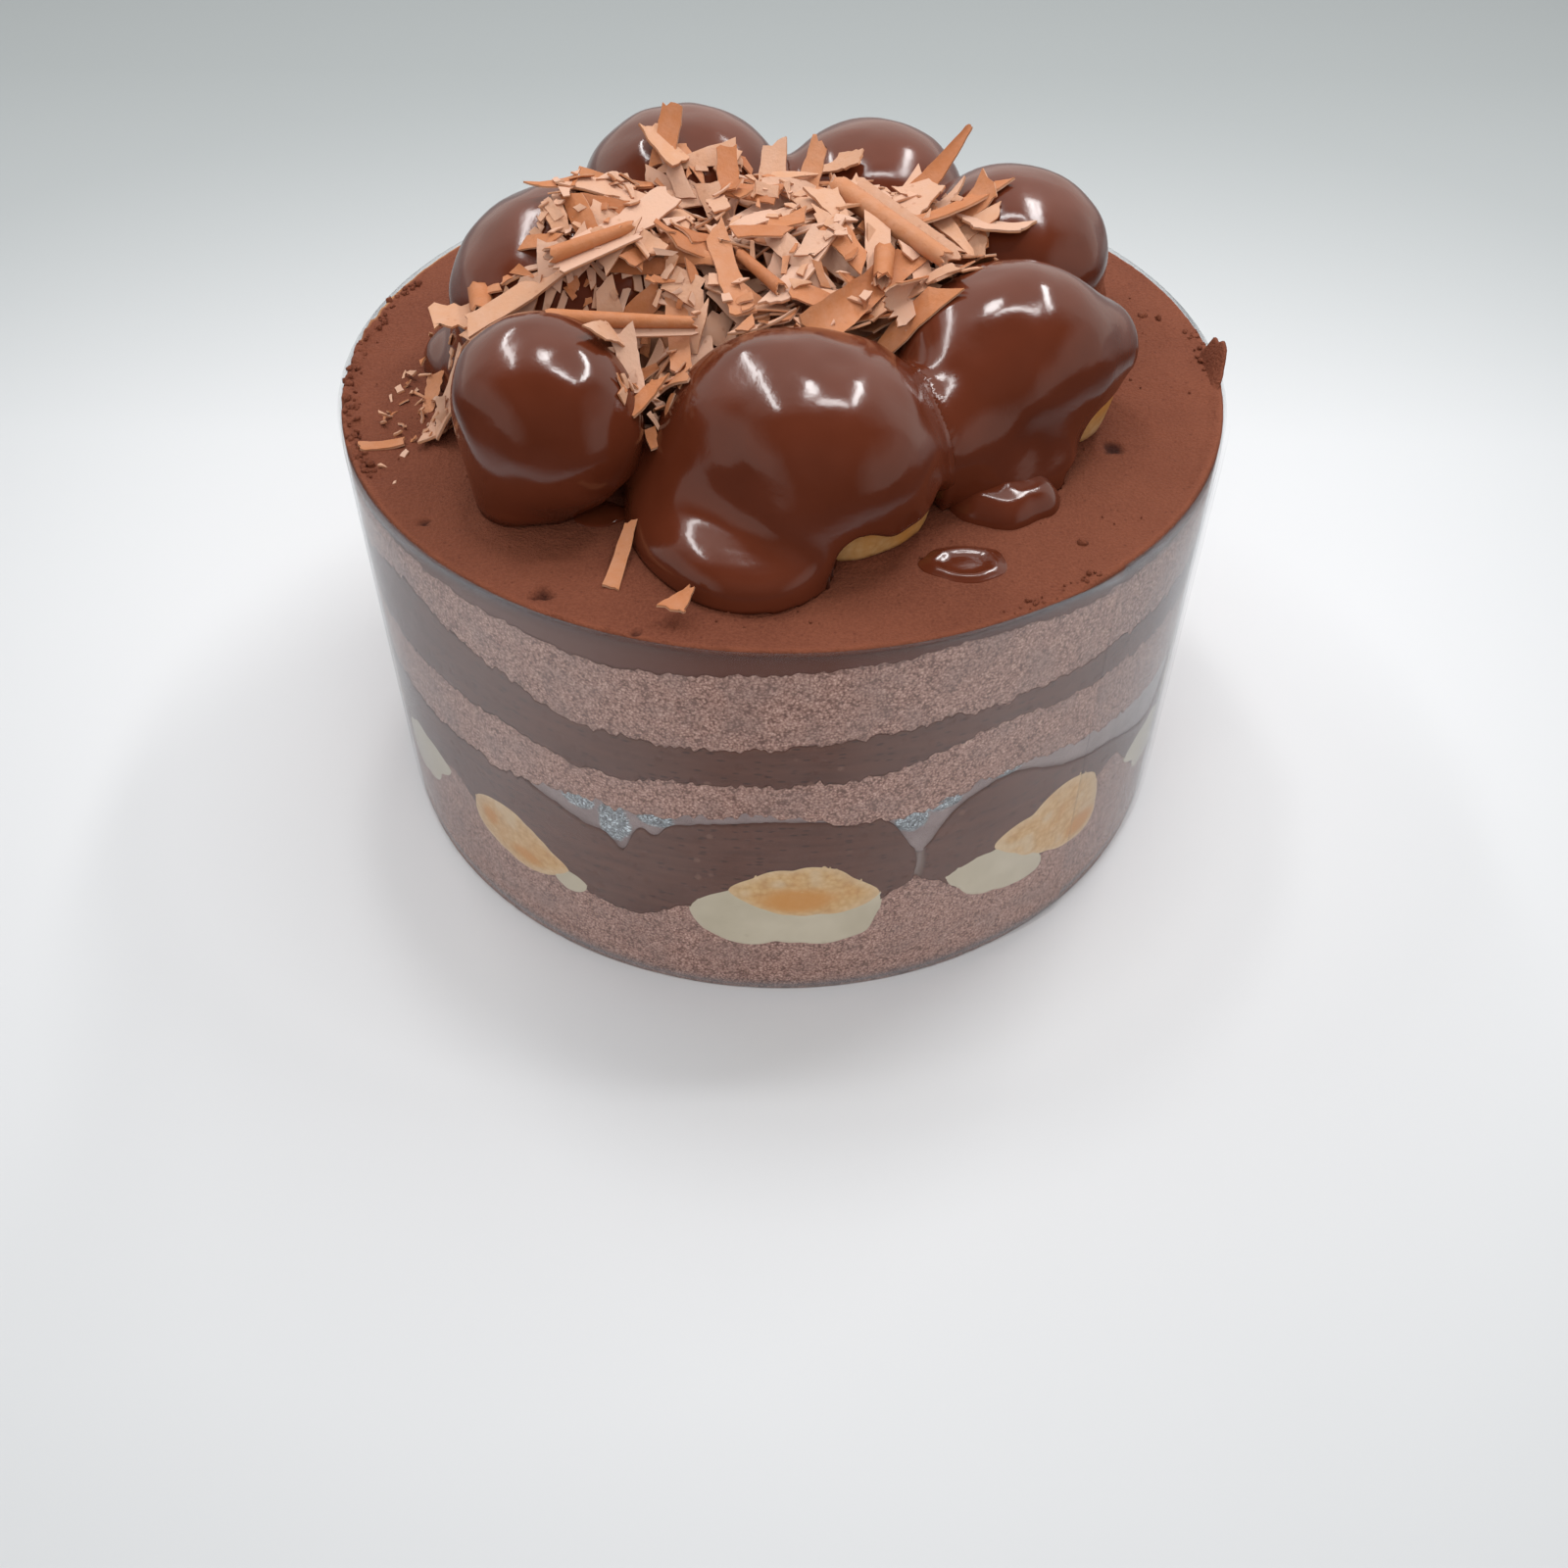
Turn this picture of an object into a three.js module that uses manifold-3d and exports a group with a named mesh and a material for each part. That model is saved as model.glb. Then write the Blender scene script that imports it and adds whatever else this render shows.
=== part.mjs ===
// A chocolate profiterole cake in a clear film collar. Three sponges, two ganaches and a mousse are
// stacked round a ring of choux buns set in white cream, and the top carries a ring of glazed
// profiteroles with a heap of milk chocolate shavings in the middle.
// Millimetres, +Z up. The origin is the centre of the base, and the front of the cake faces -Y.
// Azimuths are in degrees from the front, positive towards +X.
import * as THREE from "three";
import { mergeVertices } from "three/addons/utils/BufferGeometryUtils.js";
import Module from "manifold-3d";

const wasm = await Module();
wasm.setup();

// Driving dimensions
const collarRadius = 80;
const collarHeight = 83.6;
const filmThickness = 0.4;
const filmLift = 0.6; // the film's lower edge stays just above the cake's foot
const filmLap = { at: 42.5, span: 34, step: 0.75, rise: 6 }; // the film's outer end lies on its inner end
const seam = 0.3; // clear gap between touching pieces
const cakeRadius = collarRadius - filmThickness - seam;
const topLevel = collarHeight - 0.3;
const rimSteps = 72;

// Layer edges at the rim: a level, and swells as [azimuth, half width in degrees, rise]
const baseEdge = {
  level: 19,
  swells: [[-47, 5, 11.5], [-20, 8, -1], [17.5, 4, 8], [49, 5, 13]],
};
const ganacheEdge = {
  level: 42.6,
  swells: [
    [-23, 8, -4.5], [-20, 2.6, -3.6], [2, 10, 3.2], [17.8, 2.8, -7],
    [31, 7, 4.2], [49, 5, -2.6], [63, 6, 3],
  ],
};
const middleSpongeFoot = {
  level: 43.6,
  swells: [[-33, 8, 0.8], [-3, 14, 3.6], [30, 16, 5], [56, 14, 3.4]],
};
const middleSpongeEdge = {
  level: 54.4,
  swells: [[-23, 10, -3], [27, 12, 5.4], [50, 18, 4.6]],
};
const topSpongeFoot = {
  level: 65.5,
  swells: [[-53, 12, 6], [-36, 6, 1.1], [-16, 17, -4.2], [4, 10, -1]],
};
const topSpongeEdge = {
  level: 79.5,
  swells: [[-20, 17, -2.9], [21, 12, 1.5]],
};
const ganacheSplit = { at: 17.8, width: 1.5, depth: 14, foot: 27 }; // the slit between two lobes of ganache

// Buns set against the film, each with its cream: sizes are those of the face pressed on the film
const bunMiddle = { radius: 66, depth: 19 };
const creamMiddle = { radius: 71, depth: 17 };
const setBuns = [
  { at: 2.8, z: 28, wide: 14.4, tall: 6.7, lean: 0, cream: { at: 0.5, z: 21, wide: 18, tall: 6.8 } },
  { at: 38, z: 28.6, wide: 13.4, tall: 9, lean: 12, cream: { at: 29, z: 22.6, wide: 11.5, tall: 6.6 } },
  { at: 80, z: 27, wide: 13, tall: 8, lean: -8, cream: { at: 62, z: 25.6, wide: 14.5, tall: 6 } },
  { at: 119, z: 26.5, wide: 14, tall: 7.5, lean: 6, cream: { at: 116, z: 20, wide: 17, tall: 6.5 } },
  { at: 159, z: 28, wide: 13.5, tall: 7, lean: -5, cream: { at: 155, z: 21.5, wide: 15, tall: 6.8 } },
  { at: 200, z: 27, wide: 14, tall: 8, lean: 10, cream: { at: 196, z: 20.5, wide: 17, tall: 6.4 } },
  { at: 240, z: 28.5, wide: 13, tall: 7.5, lean: 0, cream: { at: 237, z: 21.8, wide: 16, tall: 6.8 } },
  { at: 281, z: 26, wide: 13.5, tall: 8, lean: 7, cream: { at: 298, z: 22.6, wide: 15.5, tall: 7 } },
  { at: 323, z: 24.3, wide: 12.5, tall: 8, lean: -10, cream: { at: 330.5, z: 19.2, wide: 5.4, tall: 3 } },
];

// Glazed profiteroles on top: place, outer radius and height over the top, and the glaze that has run
// down as feet, each a low mound [azimuth from the bun, distance out, radius, height]. The glaze stops
// short of the top over each bare arc, where the choux shows.
const coat = 2.1;
const equator = 0.42; // height of the widest ring as a share of the bun's height
const footBlend = 5; // how softly the glaze runs from a bun into its feet
const bareEdge = 0.3; // height of the glaze's edge over a bare arc as a share of the bun's height
const profiteroles = [
  {
    at: [1.9, -46.9], radius: 23.7, height: 28.3, bare: { at: 49, span: 27 },
    feet: [[-25, 15, 11, 9], [-58, 15, 11, 9], [-90, 16, 11, 10], [150, 12, 9, 8]],
  },
  {
    at: [37, -21], radius: 22.5, height: 30.1, bare: { at: 88, span: 24 },
    feet: [[-3, 22, 8.5, 6.5], [31, 15, 6, 9], [-25, 16, 8, 9], [150, 13, 9, 8]],
  },
  {
    at: [41.5, 18], radius: 18.5, height: 27.5, bare: { at: 60, span: 20 },
    feet: [[105, 13, 8, 8], [150, 12, 8, 7], [-90, 10, 8, 8]],
  },
  {
    at: [17, 39.5], radius: 18.5, height: 26.5, bare: { at: 150, span: 22 },
    feet: [[-165, 13, 8, 8], [110, 11, 8, 7], [0, 10, 8, 8]],
  },
  {
    at: [-18.8, 35.2], radius: 20, height: 30.9, bare: { at: -112, span: 20 },
    feet: [[-160, 14, 9, 8], [160, 13, 8, 8], [0, 10, 9, 8]],
  },
  {
    at: [-36.6, -0.8], radius: 21.8, height: 32.3, bare: { at: -140, span: 18 },
    feet: [[-92, 19, 10, 8], [-62, 14, 8, 8], [90, 11, 9, 8]],
  },
  {
    at: [-38.8, -39.3], radius: 15, height: 30.7, bare: { at: 70, span: 30 },
    feet: [[-13, 5, 8, 8], [-122, 10, 8, 6.5], [170, 7, 8, 7]],
  },
];

// Shavings: beds in the ring's middle and in two gaps between the buns, each covered by curled strips.
// A bed is an ellipsoid, with its middle at a level over the top.
const heapBeds = [
  { at: [-1, 0], turn: 0, long: 37, wide: 30, level: 13, tall: 17, pieces: 22 },
  { at: [-41, -21], turn: 8, long: 17, wide: 6, level: 14, tall: 5, pieces: 5 },
  { at: [-19, -30], turn: 76, long: 13, wide: 6, level: 8, tall: 9, pieces: 3 },
];
const wellFill = { wide: 22, level: 13 }; // fills the middle of the ring up to the first bed
const shavings = {
  seed: 20, long: [10, 26], wide: [3, 8], thick: 0.9, lift: 1.4, tilt: 0.4, bend: [10, 45],
};

// What lies on the top: a thin puddle of glaze, loose shavings and a torn flap of mousse at the rim
const puddle = { at: [29, -58], wide: 6.8, deep: 4.6, tall: 1.1 };
const looseShavings = [
  { at: [-69, -27], turn: 10, long: 8, wide: 2.4 },
  { at: [-24.6, -60], turn: 82, long: 12, wide: 2.6 },
  { at: [-14.5, -72.2], turn: 50, long: 5, wide: 4 },
];
const flap = { at: [77, -2], wide: 1.8, deep: 7, tall: 4.5, root: 1 };

// Colours and roughness of each stuff
const stuffs = {
  sponge: ["#8d6656", 0.95],
  ganache: ["#5f4439", 0.6],
  mousse: ["#693826", 0.85],
  cream: ["#e9e4cf", 0.5],
  choux: ["#d9a860", 0.8],
  glaze: ["#5a2f22", 0.15],
  shaving: ["#c58a68", 0.7],
  film: ["#dfe6e6", 0.1],
};

const rad = THREE.MathUtils.degToRad;

function toSolid(geometry) {
  const bare = geometry.clone();
  bare.deleteAttribute("normal");
  bare.deleteAttribute("uv");
  const merged = mergeVertices(bare, 1e-4);
  const mesh = new wasm.Mesh({
    numProp: 3,
    vertProperties: new Float32Array(merged.attributes.position.array),
    triVerts: new Uint32Array(merged.index.array),
  });
  return new wasm.Manifold(mesh);
}

function toGeometry(solid) {
  const mesh = solid.getMesh();
  const geometry = new THREE.BufferGeometry();
  geometry.setAttribute("position", new THREE.BufferAttribute(mesh.vertProperties, 3));
  geometry.setIndex(new THREE.BufferAttribute(mesh.triVerts, 1));
  geometry.computeVertexNormals();
  return geometry;
}

// The biggest body of a solid, without the scraps that a cut leaves
function largest(solid) {
  return solid.decompose().reduce((best, next) => (next.volume() > best.volume() ? next : best));
}

const cake = new THREE.Group();
cake.name = "profiterole_cake";

function addPart(name, stuff, solid) {
  const [color, roughness] = stuffs[stuff];
  const material = new THREE.MeshStandardMaterial({ color, roughness, metalness: 0 });
  const mesh = new THREE.Mesh(toGeometry(solid), material);
  mesh.name = name;
  cake.add(mesh);
}

// Small generator of repeatable random numbers from 0 to 1
function seeded(seed) {
  let state = seed;
  return () => {
    state = (state * 1664525 + 1013904223) % 4294967296;
    return state / 4294967296;
  };
}

const between = (share, [low, high]) => low + share * (high - low);
const bell = (offset, width) => Math.exp(-((offset / width) ** 2));
const wrapped = (angle) => THREE.MathUtils.euclideanModulo(angle + 180, 360) - 180;
const azimuthOf = (x, y) => THREE.MathUtils.radToDeg(Math.atan2(x, -y));
const placeAt = (azimuth, radius) => [radius * Math.sin(rad(azimuth)), -radius * Math.cos(rad(azimuth))];

// Each swell shows at the front and again half a turn round
function edgeHeight(edge, azimuth) {
  let height = edge.level;
  for (const [at, width, rise] of edge.swells) {
    height += rise * (bell(wrapped(azimuth - at), width) + bell(wrapped(azimuth - at - 180), width));
  }
  return height;
}

// A layer's face: the height at the middle and at the rim
function face(edge, shift) {
  return { middle: edge.level + shift, rim: (azimuth) => edgeHeight(edge, azimuth) + shift };
}

function flatFace(height) {
  return { middle: height, rim: () => height };
}

// A round layer whose two faces run straight from the middle to the wavy rim
function layer(lower, upper) {
  const disc = new THREE.CylinderGeometry(cakeRadius, cakeRadius, 2, rimSteps, 1).rotateX(Math.PI / 2);
  const position = disc.attributes.position;
  for (let i = 0; i < position.count; i += 1) {
    const x = position.getX(i);
    const y = position.getY(i);
    const side = position.getZ(i) > 0 ? upper : lower;
    const atMiddle = Math.hypot(x, y) < 1;
    position.setZ(i, atMiddle ? side.middle : side.rim(azimuthOf(x, y)));
  }
  return toSolid(disc);
}

const cakeBody = layer(flatFace(-5), flatFace(collarHeight + 5));

// A bun or a spoon of cream against the film: an ellipsoid whose cut at the rim has the stated half sizes
function filmEllipsoid(middle, spot, lean, grow, sides, rings) {
  const cut = Math.sqrt(1 - ((cakeRadius - middle.radius) / middle.depth) ** 2);
  const [x, y] = placeAt(spot.at, middle.radius);
  const form = new THREE.SphereGeometry(1, sides, rings);
  form.scale(spot.wide / cut + grow, middle.depth + grow, spot.tall / cut + grow);
  form.rotateY(rad(lean));
  form.rotateZ(rad(spot.at));
  form.translate(x, y, spot.z);
  return toSolid(form);
}

const bunForm = (bun, grow) => filmEllipsoid(bunMiddle, bun, bun.lean, grow, 10, 4);
const creamForm = (bun, grow) => filmEllipsoid(creamMiddle, bun.cream, bun.lean / 2, grow, 10, 4);

function buildLayers() {
  const ganacheTop = {
    middle: ganacheEdge.level,
    rim: (azimuth) => {
      const underSponge = edgeHeight(middleSpongeFoot, azimuth) - seam;
      return Math.min(edgeHeight(ganacheEdge, azimuth), underSponge);
    },
  };
  let base = layer(flatFace(0), face(baseEdge, 0));
  let ganache = layer(face(baseEdge, seam), ganacheTop);
  for (const bun of setBuns) {
    const room = bunForm(bun, seam).add(creamForm(bun, seam));
    base = base.subtract(room);
    ganache = ganache.subtract(room);
    addPart(`set_bun_${setBuns.indexOf(bun) + 1}`, "choux", bunForm(bun, 0).intersect(cakeBody));
  }
  const [slitX, slitY] = placeAt(ganacheSplit.at, cakeRadius);
  const slit = new THREE.BoxGeometry(ganacheSplit.width, 2 * ganacheSplit.depth, collarHeight);
  slit.rotateZ(rad(ganacheSplit.at));
  slit.translate(slitX, slitY, ganacheSplit.foot + collarHeight / 2);
  addPart("sponge_base", "sponge", largest(base));
  addPart("ganache_lower", "ganache", largest(ganache.subtract(toSolid(slit))));
  addPart("sponge_middle", "sponge", layer(face(middleSpongeFoot, 0), face(middleSpongeEdge, 0)));
  addPart("ganache_middle", "ganache", layer(face(middleSpongeEdge, seam), face(topSpongeFoot, 0)));
  addPart("sponge_top", "sponge", layer(face(topSpongeFoot, seam), face(topSpongeEdge, 0)));
}

function buildCreams() {
  setBuns.forEach((bun, index) => {
    let cream = creamForm(bun, 0).intersect(cakeBody);
    for (const other of setBuns) {
      cream = cream.subtract(bunForm(other, seam));
    }
    addPart(`cream_${index + 1}`, "cream", largest(cream));
  });
}

// A strip bent along its length round a curl, lying with its middle at the origin
function strip({ long, wide, thick, bend }) {
  const form = new THREE.BoxGeometry(long, wide, thick, 2, 1, 1);
  const position = form.attributes.position;
  for (let i = 0; i < position.count; i += 1) {
    const along = position.getX(i) / bend;
    const radius = bend - position.getZ(i);
    position.setX(i, radius * Math.sin(along));
    position.setZ(i, bend - radius * Math.cos(along));
  }
  return form;
}

function buildMousse() {
  let mousse = layer(face(topSpongeEdge, seam), flatFace(topLevel));
  const drop = new THREE.SphereGeometry(1, 12, 4).rotateX(Math.PI / 2);
  drop.scale(puddle.wide, puddle.deep, puddle.tall);
  drop.translate(...puddle.at, topLevel);
  mousse = mousse.add(toSolid(drop));
  for (const loose of looseShavings) {
    const shaving = strip({ ...loose, thick: shavings.thick, bend: 60 });
    shaving.rotateZ(rad(loose.turn));
    shaving.translate(...loose.at, topLevel + shavings.thick / 4);
    mousse = mousse.add(toSolid(shaving));
  }
  const torn = new THREE.CylinderGeometry(0, 1, 1, 8).rotateX(Math.PI / 2);
  torn.scale(flap.wide, flap.deep, flap.tall + flap.root);
  torn.translate(...flap.at, topLevel + (flap.tall - flap.root) / 2);
  mousse = mousse.add(toSolid(torn).intersect(cakeBody));
  addPart("mousse_top", "mousse", mousse);
}

function buildCollar() {
  const outline = new THREE.Shape();
  const steps = rimSteps + Math.round((rimSteps * filmLap.span) / 360);
  const spot = (index, inset) => {
    const turned = (360 * index) / rimSteps;
    const lapped = THREE.MathUtils.smoothstep(turned, 360 - filmLap.rise, 360);
    const [x, y] = placeAt(filmLap.at + turned, collarRadius + filmLap.step * lapped - inset);
    return new THREE.Vector2(x, y);
  };
  const outer = Array.from({ length: steps + 1 }, (_, index) => spot(index, 0));
  const inner = Array.from({ length: steps + 1 }, (_, index) => spot(index, filmThickness));
  outline.setFromPoints([...outer, ...inner.reverse()]);
  const depth = collarHeight - filmLift;
  const band = new THREE.ExtrudeGeometry(outline, { depth, bevelEnabled: false, curveSegments: 1 });
  band.translate(0, 0, filmLift);
  addPart("collar", "film", toSolid(band));
}

// Signed distance, near enough, from an ellipsoid with a round plan
function ellipsoidField(x, y, z, wide, tall) {
  const unit = Math.hypot(x / wide, y / wide, z / tall);
  const slope = Math.hypot(x / wide ** 2, y / wide ** 2, z / tall ** 2);
  return slope < 1e-9 ? -Math.min(wide, tall) : (unit * (unit - 1)) / slope;
}

// Smooth union of two fields
function blended(first, second, softness) {
  const share = THREE.MathUtils.clamp(0.5 + (0.5 * (second - first)) / softness, 0, 1);
  return second + (first - second) * share - softness * share * (1 - share);
}

// Field of one profiterole's glaze: the bun and its feet run together
function glazeField(bun, x, y, z) {
  const tall = (1 - equator) * bun.height;
  let field = ellipsoidField(x, y, z, bun.radius, tall);
  for (const [at, out, wide, high] of bun.feet) {
    const [footX, footY] = placeAt(at, out);
    const foot = ellipsoidField(x - footX, y - footY, z + equator * bun.height, wide, high);
    field = blended(field, foot, footBlend);
  }
  return field;
}

// Distance from the bun's middle to the glaze's skin along a direction
function glazeReach(bun, direction, grow) {
  let near = 0;
  let far = 2.5 * bun.radius;
  for (let step = 0; step < 26; step += 1) {
    const reach = (near + far) / 2;
    const field = glazeField(bun, direction.x * reach, direction.y * reach, direction.z * reach);
    if (field < grow) {
      near = reach;
    } else {
      far = reach;
    }
  }
  return near;
}

function chouxReach(bun, direction, grow) {
  const wide = bun.radius - coat + grow;
  const tall = (1 - equator) * bun.height - coat + grow;
  return 1 / Math.hypot(direction.x / wide, direction.y / wide, direction.z / tall);
}

// Shortens a reach so that the point stays on its own side of the plane between two neighbours
function keptApart(bun, direction, reach, gap) {
  let kept = reach;
  for (const other of profiteroles) {
    const away = new THREE.Vector3(other.at[0] - bun.at[0], other.at[1] - bun.at[1], 0);
    const distance = away.length();
    const toward = direction.dot(away) / (distance || 1);
    const plane = (distance * bun.radius) / (bun.radius + other.radius) - gap;
    if (other !== bun && toward * kept > plane) {
      kept = plane / toward;
    }
  }
  return kept;
}

// A closed skin round a bun's middle, flat where it meets the given floor
function bunSkin(bun, sides, rings, floor, reachOf, gap) {
  const skin = new THREE.SphereGeometry(1, sides, rings).rotateX(Math.PI / 2);
  const position = skin.attributes.position;
  const middle = topLevel + equator * bun.height;
  const direction = new THREE.Vector3();
  for (let i = 0; i < position.count; i += 1) {
    direction.fromBufferAttribute(position, i).normalize();
    let reach = keptApart(bun, direction, reachOf(direction), gap);
    if (middle + direction.z * reach < floor) {
      reach = (floor - middle) / direction.z;
    }
    direction.multiplyScalar(reach);
    position.setXYZ(i, bun.at[0] + direction.x, bun.at[1] + direction.y, middle + direction.z);
  }
  return toSolid(skin);
}

// The glaze draws back under the choux's skin over its bare arc
function coatReach(bun, direction) {
  const offset = Math.abs(wrapped(azimuthOf(direction.x, direction.y) - bun.bare.at));
  const reach = glazeReach(bun, direction, 0);
  const height = equator * bun.height + direction.z * reach;
  const isBare = offset < bun.bare.span && height < bareEdge * bun.height;
  return isBare ? chouxReach(bun, direction, -coat) : reach;
}

const floorLevel = topLevel + seam;
const chouxSkin = (bun, grow, floor) =>
  bunSkin(bun, 12, 7, floor, (direction) => chouxReach(bun, direction, grow), coat - grow);
const glazeSkin = (bun, grow, floor) =>
  bunSkin(bun, 16, 11, floor, (direction) => glazeReach(bun, direction, grow), seam / 2 - grow);

function buildProfiteroles() {
  profiteroles.forEach((bun, index) => {
    const coated = bunSkin(bun, 16, 11, floorLevel, (direction) => coatReach(bun, direction), seam / 2);
    addPart(`choux_${index + 1}`, "choux", chouxSkin(bun, 0, floorLevel));
    addPart(`glaze_${index + 1}`, "glaze", largest(coated.subtract(chouxSkin(bun, seam, topLevel - 1))));
  });
}

// Height of a bed over the top at a place counted from its middle
function bedHeight(bed, along, across) {
  const share = (along / bed.long) ** 2 + (across / bed.wide) ** 2;
  return bed.level + bed.tall * Math.sqrt(Math.max(0, 1 - share));
}

function bunHeight(x, y) {
  let height = 0;
  for (const bun of profiteroles) {
    const share = Math.hypot(x - bun.at[0], y - bun.at[1]) / bun.radius;
    if (share < 1) {
      height = Math.max(height, bun.height * (equator + (1 - equator) * Math.sqrt(1 - share ** 2)));
    }
  }
  return height;
}

function bedForm(bed) {
  const form = new THREE.SphereGeometry(1, 12, 6).rotateX(Math.PI / 2);
  form.scale(bed.long, bed.wide, bed.tall);
  form.rotateZ(rad(bed.turn));
  form.translate(...bed.at, topLevel + bed.level);
  return toSolid(form);
}

// Strips spread over a bed by the golden angle, lying outwards from its middle
function bedStrips(bed, random) {
  const strips = [];
  const turned = rad(bed.turn);
  for (let i = 0; i < bed.pieces; i += 1) {
    const out = Math.sqrt((i + 0.5) / bed.pieces);
    const around = i * 2.4;
    const along = bed.long * out * Math.cos(around);
    const across = bed.wide * out * Math.sin(around);
    const x = bed.at[0] + along * Math.cos(turned) - across * Math.sin(turned);
    const y = bed.at[1] + along * Math.sin(turned) + across * Math.cos(turned);
    const level = Math.max(bedHeight(bed, along, across), bunHeight(x, y));
    const piece = strip({
      long: between(random() ** 1.5, shavings.long),
      wide: between(random(), shavings.wide),
      thick: shavings.thick,
      bend: between(random(), shavings.bend),
    });
    piece.rotateX((random() - 0.5) * 2 * shavings.tilt);
    piece.rotateY((random() - 0.5) * 2 * shavings.tilt);
    piece.rotateZ(around + turned + (random() - 0.5) * Math.PI * (1.6 - out));
    piece.translate(x, y, topLevel + level + shavings.lift * (random() - 0.3));
    strips.push(toSolid(piece));
  }
  return strips;
}

function buildHeap() {
  const random = seeded(shavings.seed);
  const well = new THREE.CylinderGeometry(wellFill.wide, wellFill.wide, wellFill.level, 10);
  well.rotateX(Math.PI / 2);
  well.translate(...heapBeds[0].at, floorLevel + wellFill.level / 2);
  let heap = toSolid(well);
  for (const bed of heapBeds) {
    heap = bedStrips(bed, random).reduce((joined, piece) => joined.add(piece), heap.add(bedForm(bed)));
  }
  for (const bun of profiteroles) {
    heap = heap.subtract(glazeSkin(bun, seam, topLevel - 1));
  }
  const below = layer(flatFace(-5), flatFace(floorLevel));
  addPart("shavings", "shaving", largest(heap.subtract(below)));
}

buildLayers();
buildCreams();
buildMousse();
buildCollar();
buildProfiteroles();
buildHeap();

export default cake;
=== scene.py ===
import math

import bpy
import numpy as np
from mathutils import Matrix


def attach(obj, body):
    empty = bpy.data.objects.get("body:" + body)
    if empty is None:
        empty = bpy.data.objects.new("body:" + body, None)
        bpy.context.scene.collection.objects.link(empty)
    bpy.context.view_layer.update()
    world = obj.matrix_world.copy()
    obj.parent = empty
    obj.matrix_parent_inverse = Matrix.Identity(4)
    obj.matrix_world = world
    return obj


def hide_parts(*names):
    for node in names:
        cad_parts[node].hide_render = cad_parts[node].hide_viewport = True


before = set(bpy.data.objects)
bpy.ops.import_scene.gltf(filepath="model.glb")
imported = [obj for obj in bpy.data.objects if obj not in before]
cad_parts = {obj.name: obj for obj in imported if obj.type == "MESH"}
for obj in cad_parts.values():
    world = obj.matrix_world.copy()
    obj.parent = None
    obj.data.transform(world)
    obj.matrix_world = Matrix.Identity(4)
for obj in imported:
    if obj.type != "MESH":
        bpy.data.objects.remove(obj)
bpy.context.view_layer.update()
print("frame loaded:", len(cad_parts), "nodes")

# Lengths are in millimetres until a mesh is made. Azimuths are degrees from the front, positive to +X.
cake = {"sideRadius": 79.45, "topLevel": 83.3, "columns": 1320}


# Small tools

def screenColour(red, green, blue):
    # a screen colour of 0 to 255 as the linear colour that a shader takes
    share = np.array([red, green, blue]) / 255
    linear = np.where(share <= 0.04045, share / 12.92, ((share + 0.055) / 1.055) ** 2.4)
    return (*linear.tolist(), 1.0)


def smoothStep(low, high, value):
    # rises from 0 at low to 1 at high along a smooth cubic
    share = np.clip((value - low) / (high - low), 0, 1)
    return share * share * (3 - 2 * share)


def wrapped(angle):
    # the same angle between -180 and 180 degrees
    return (angle + 180) % 360 - 180


def onRing(radius, azimuth, height):
    # points at a radius and azimuth round the cake's axis
    turned = np.radians(azimuth)
    radius, turned, height = np.broadcast_arrays(radius, turned, height)
    return np.stack([radius * np.sin(turned), -radius * np.cos(turned), height], -1)


lattice = {"x": 374761393, "y": 668265263, "z": 2147483647, "seed": 974711, "mix": 1274126177,
           "word": 2 ** 32 - 1}  # odd steps that keep neighbours unlike, and the bits that stay


def latticeValue(x, y, z, seed):
    # a repeatable value from -1 to 1 at whole-number places, by mixing their bits
    mixed = x * lattice["x"] + y * lattice["y"] + z * lattice["z"] + seed * lattice["seed"]
    mixed = mixed & lattice["word"]
    mixed = ((mixed ^ (mixed >> 13)) * lattice["mix"]) & lattice["word"]
    return (mixed ^ (mixed >> 16)) / (lattice["word"] / 2) - 1


def softNoise(points, scale, seed):
    # value noise: lattice values at the given spacing, joined by smooth steps along each axis
    spots = points / scale
    base = np.floor(spots).astype(np.int64)
    share = spots - base
    share = share * share * (3 - 2 * share)
    total = np.zeros(spots.shape[:-1])
    for corner in range(8):
        bits = [corner >> axis & 1 for axis in range(3)]
        weight = np.ones_like(total)
        for axis in range(3):
            weight = weight * (share[..., axis] if bits[axis] else 1 - share[..., axis])
        total += weight * latticeValue(*[base[..., axis] + bits[axis] for axis in range(3)], seed)
    return total


def layeredNoise(points, scale, seed, layers=3):
    # soft noise at a scale, with half the strength at each half scale
    total = sum(softNoise(points, scale / 2 ** k, seed + k) / 2 ** k for k in range(layers))
    return total / (2 - 2.0 ** (1 - layers))


def gridQuads(rows, columns, wrapColumns=False):
    # four-cornered faces of a grid of points, row by row
    down = np.arange(rows - 1)[:, None]
    across = np.arange(columns if wrapColumns else columns - 1)[None, :]
    beside = (across + 1) % columns
    corners = [down * columns + across, down * columns + beside,
               (down + 1) * columns + beside, (down + 1) * columns + across]
    return np.stack(np.broadcast_arrays(*corners), -1).reshape(-1, 4)


def closedSkin(rings):
    # rings of points round an axis, from the lowest to the highest, with a point closing each end
    rows, columns = rings.shape[:2]
    points = np.concatenate([rings.reshape(-1, 3), rings[:1].mean(1), rings[-1:].mean(1)])
    low, high = rows * columns, rows * columns + 1
    here = np.arange(columns)
    beside = (here + 1) % columns
    last = (rows - 1) * columns
    foot = np.stack([beside, here, np.full(columns, low)], -1)
    head = np.stack([last + here, last + beside, np.full(columns, high)], -1)
    return points, [gridQuads(rows, columns, True), foot, head]


def ringMarks(values):
    # a mark's values on a closed skin's rings, with none on the two closing points
    return np.concatenate([np.ravel(values), [0, 0]])


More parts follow.
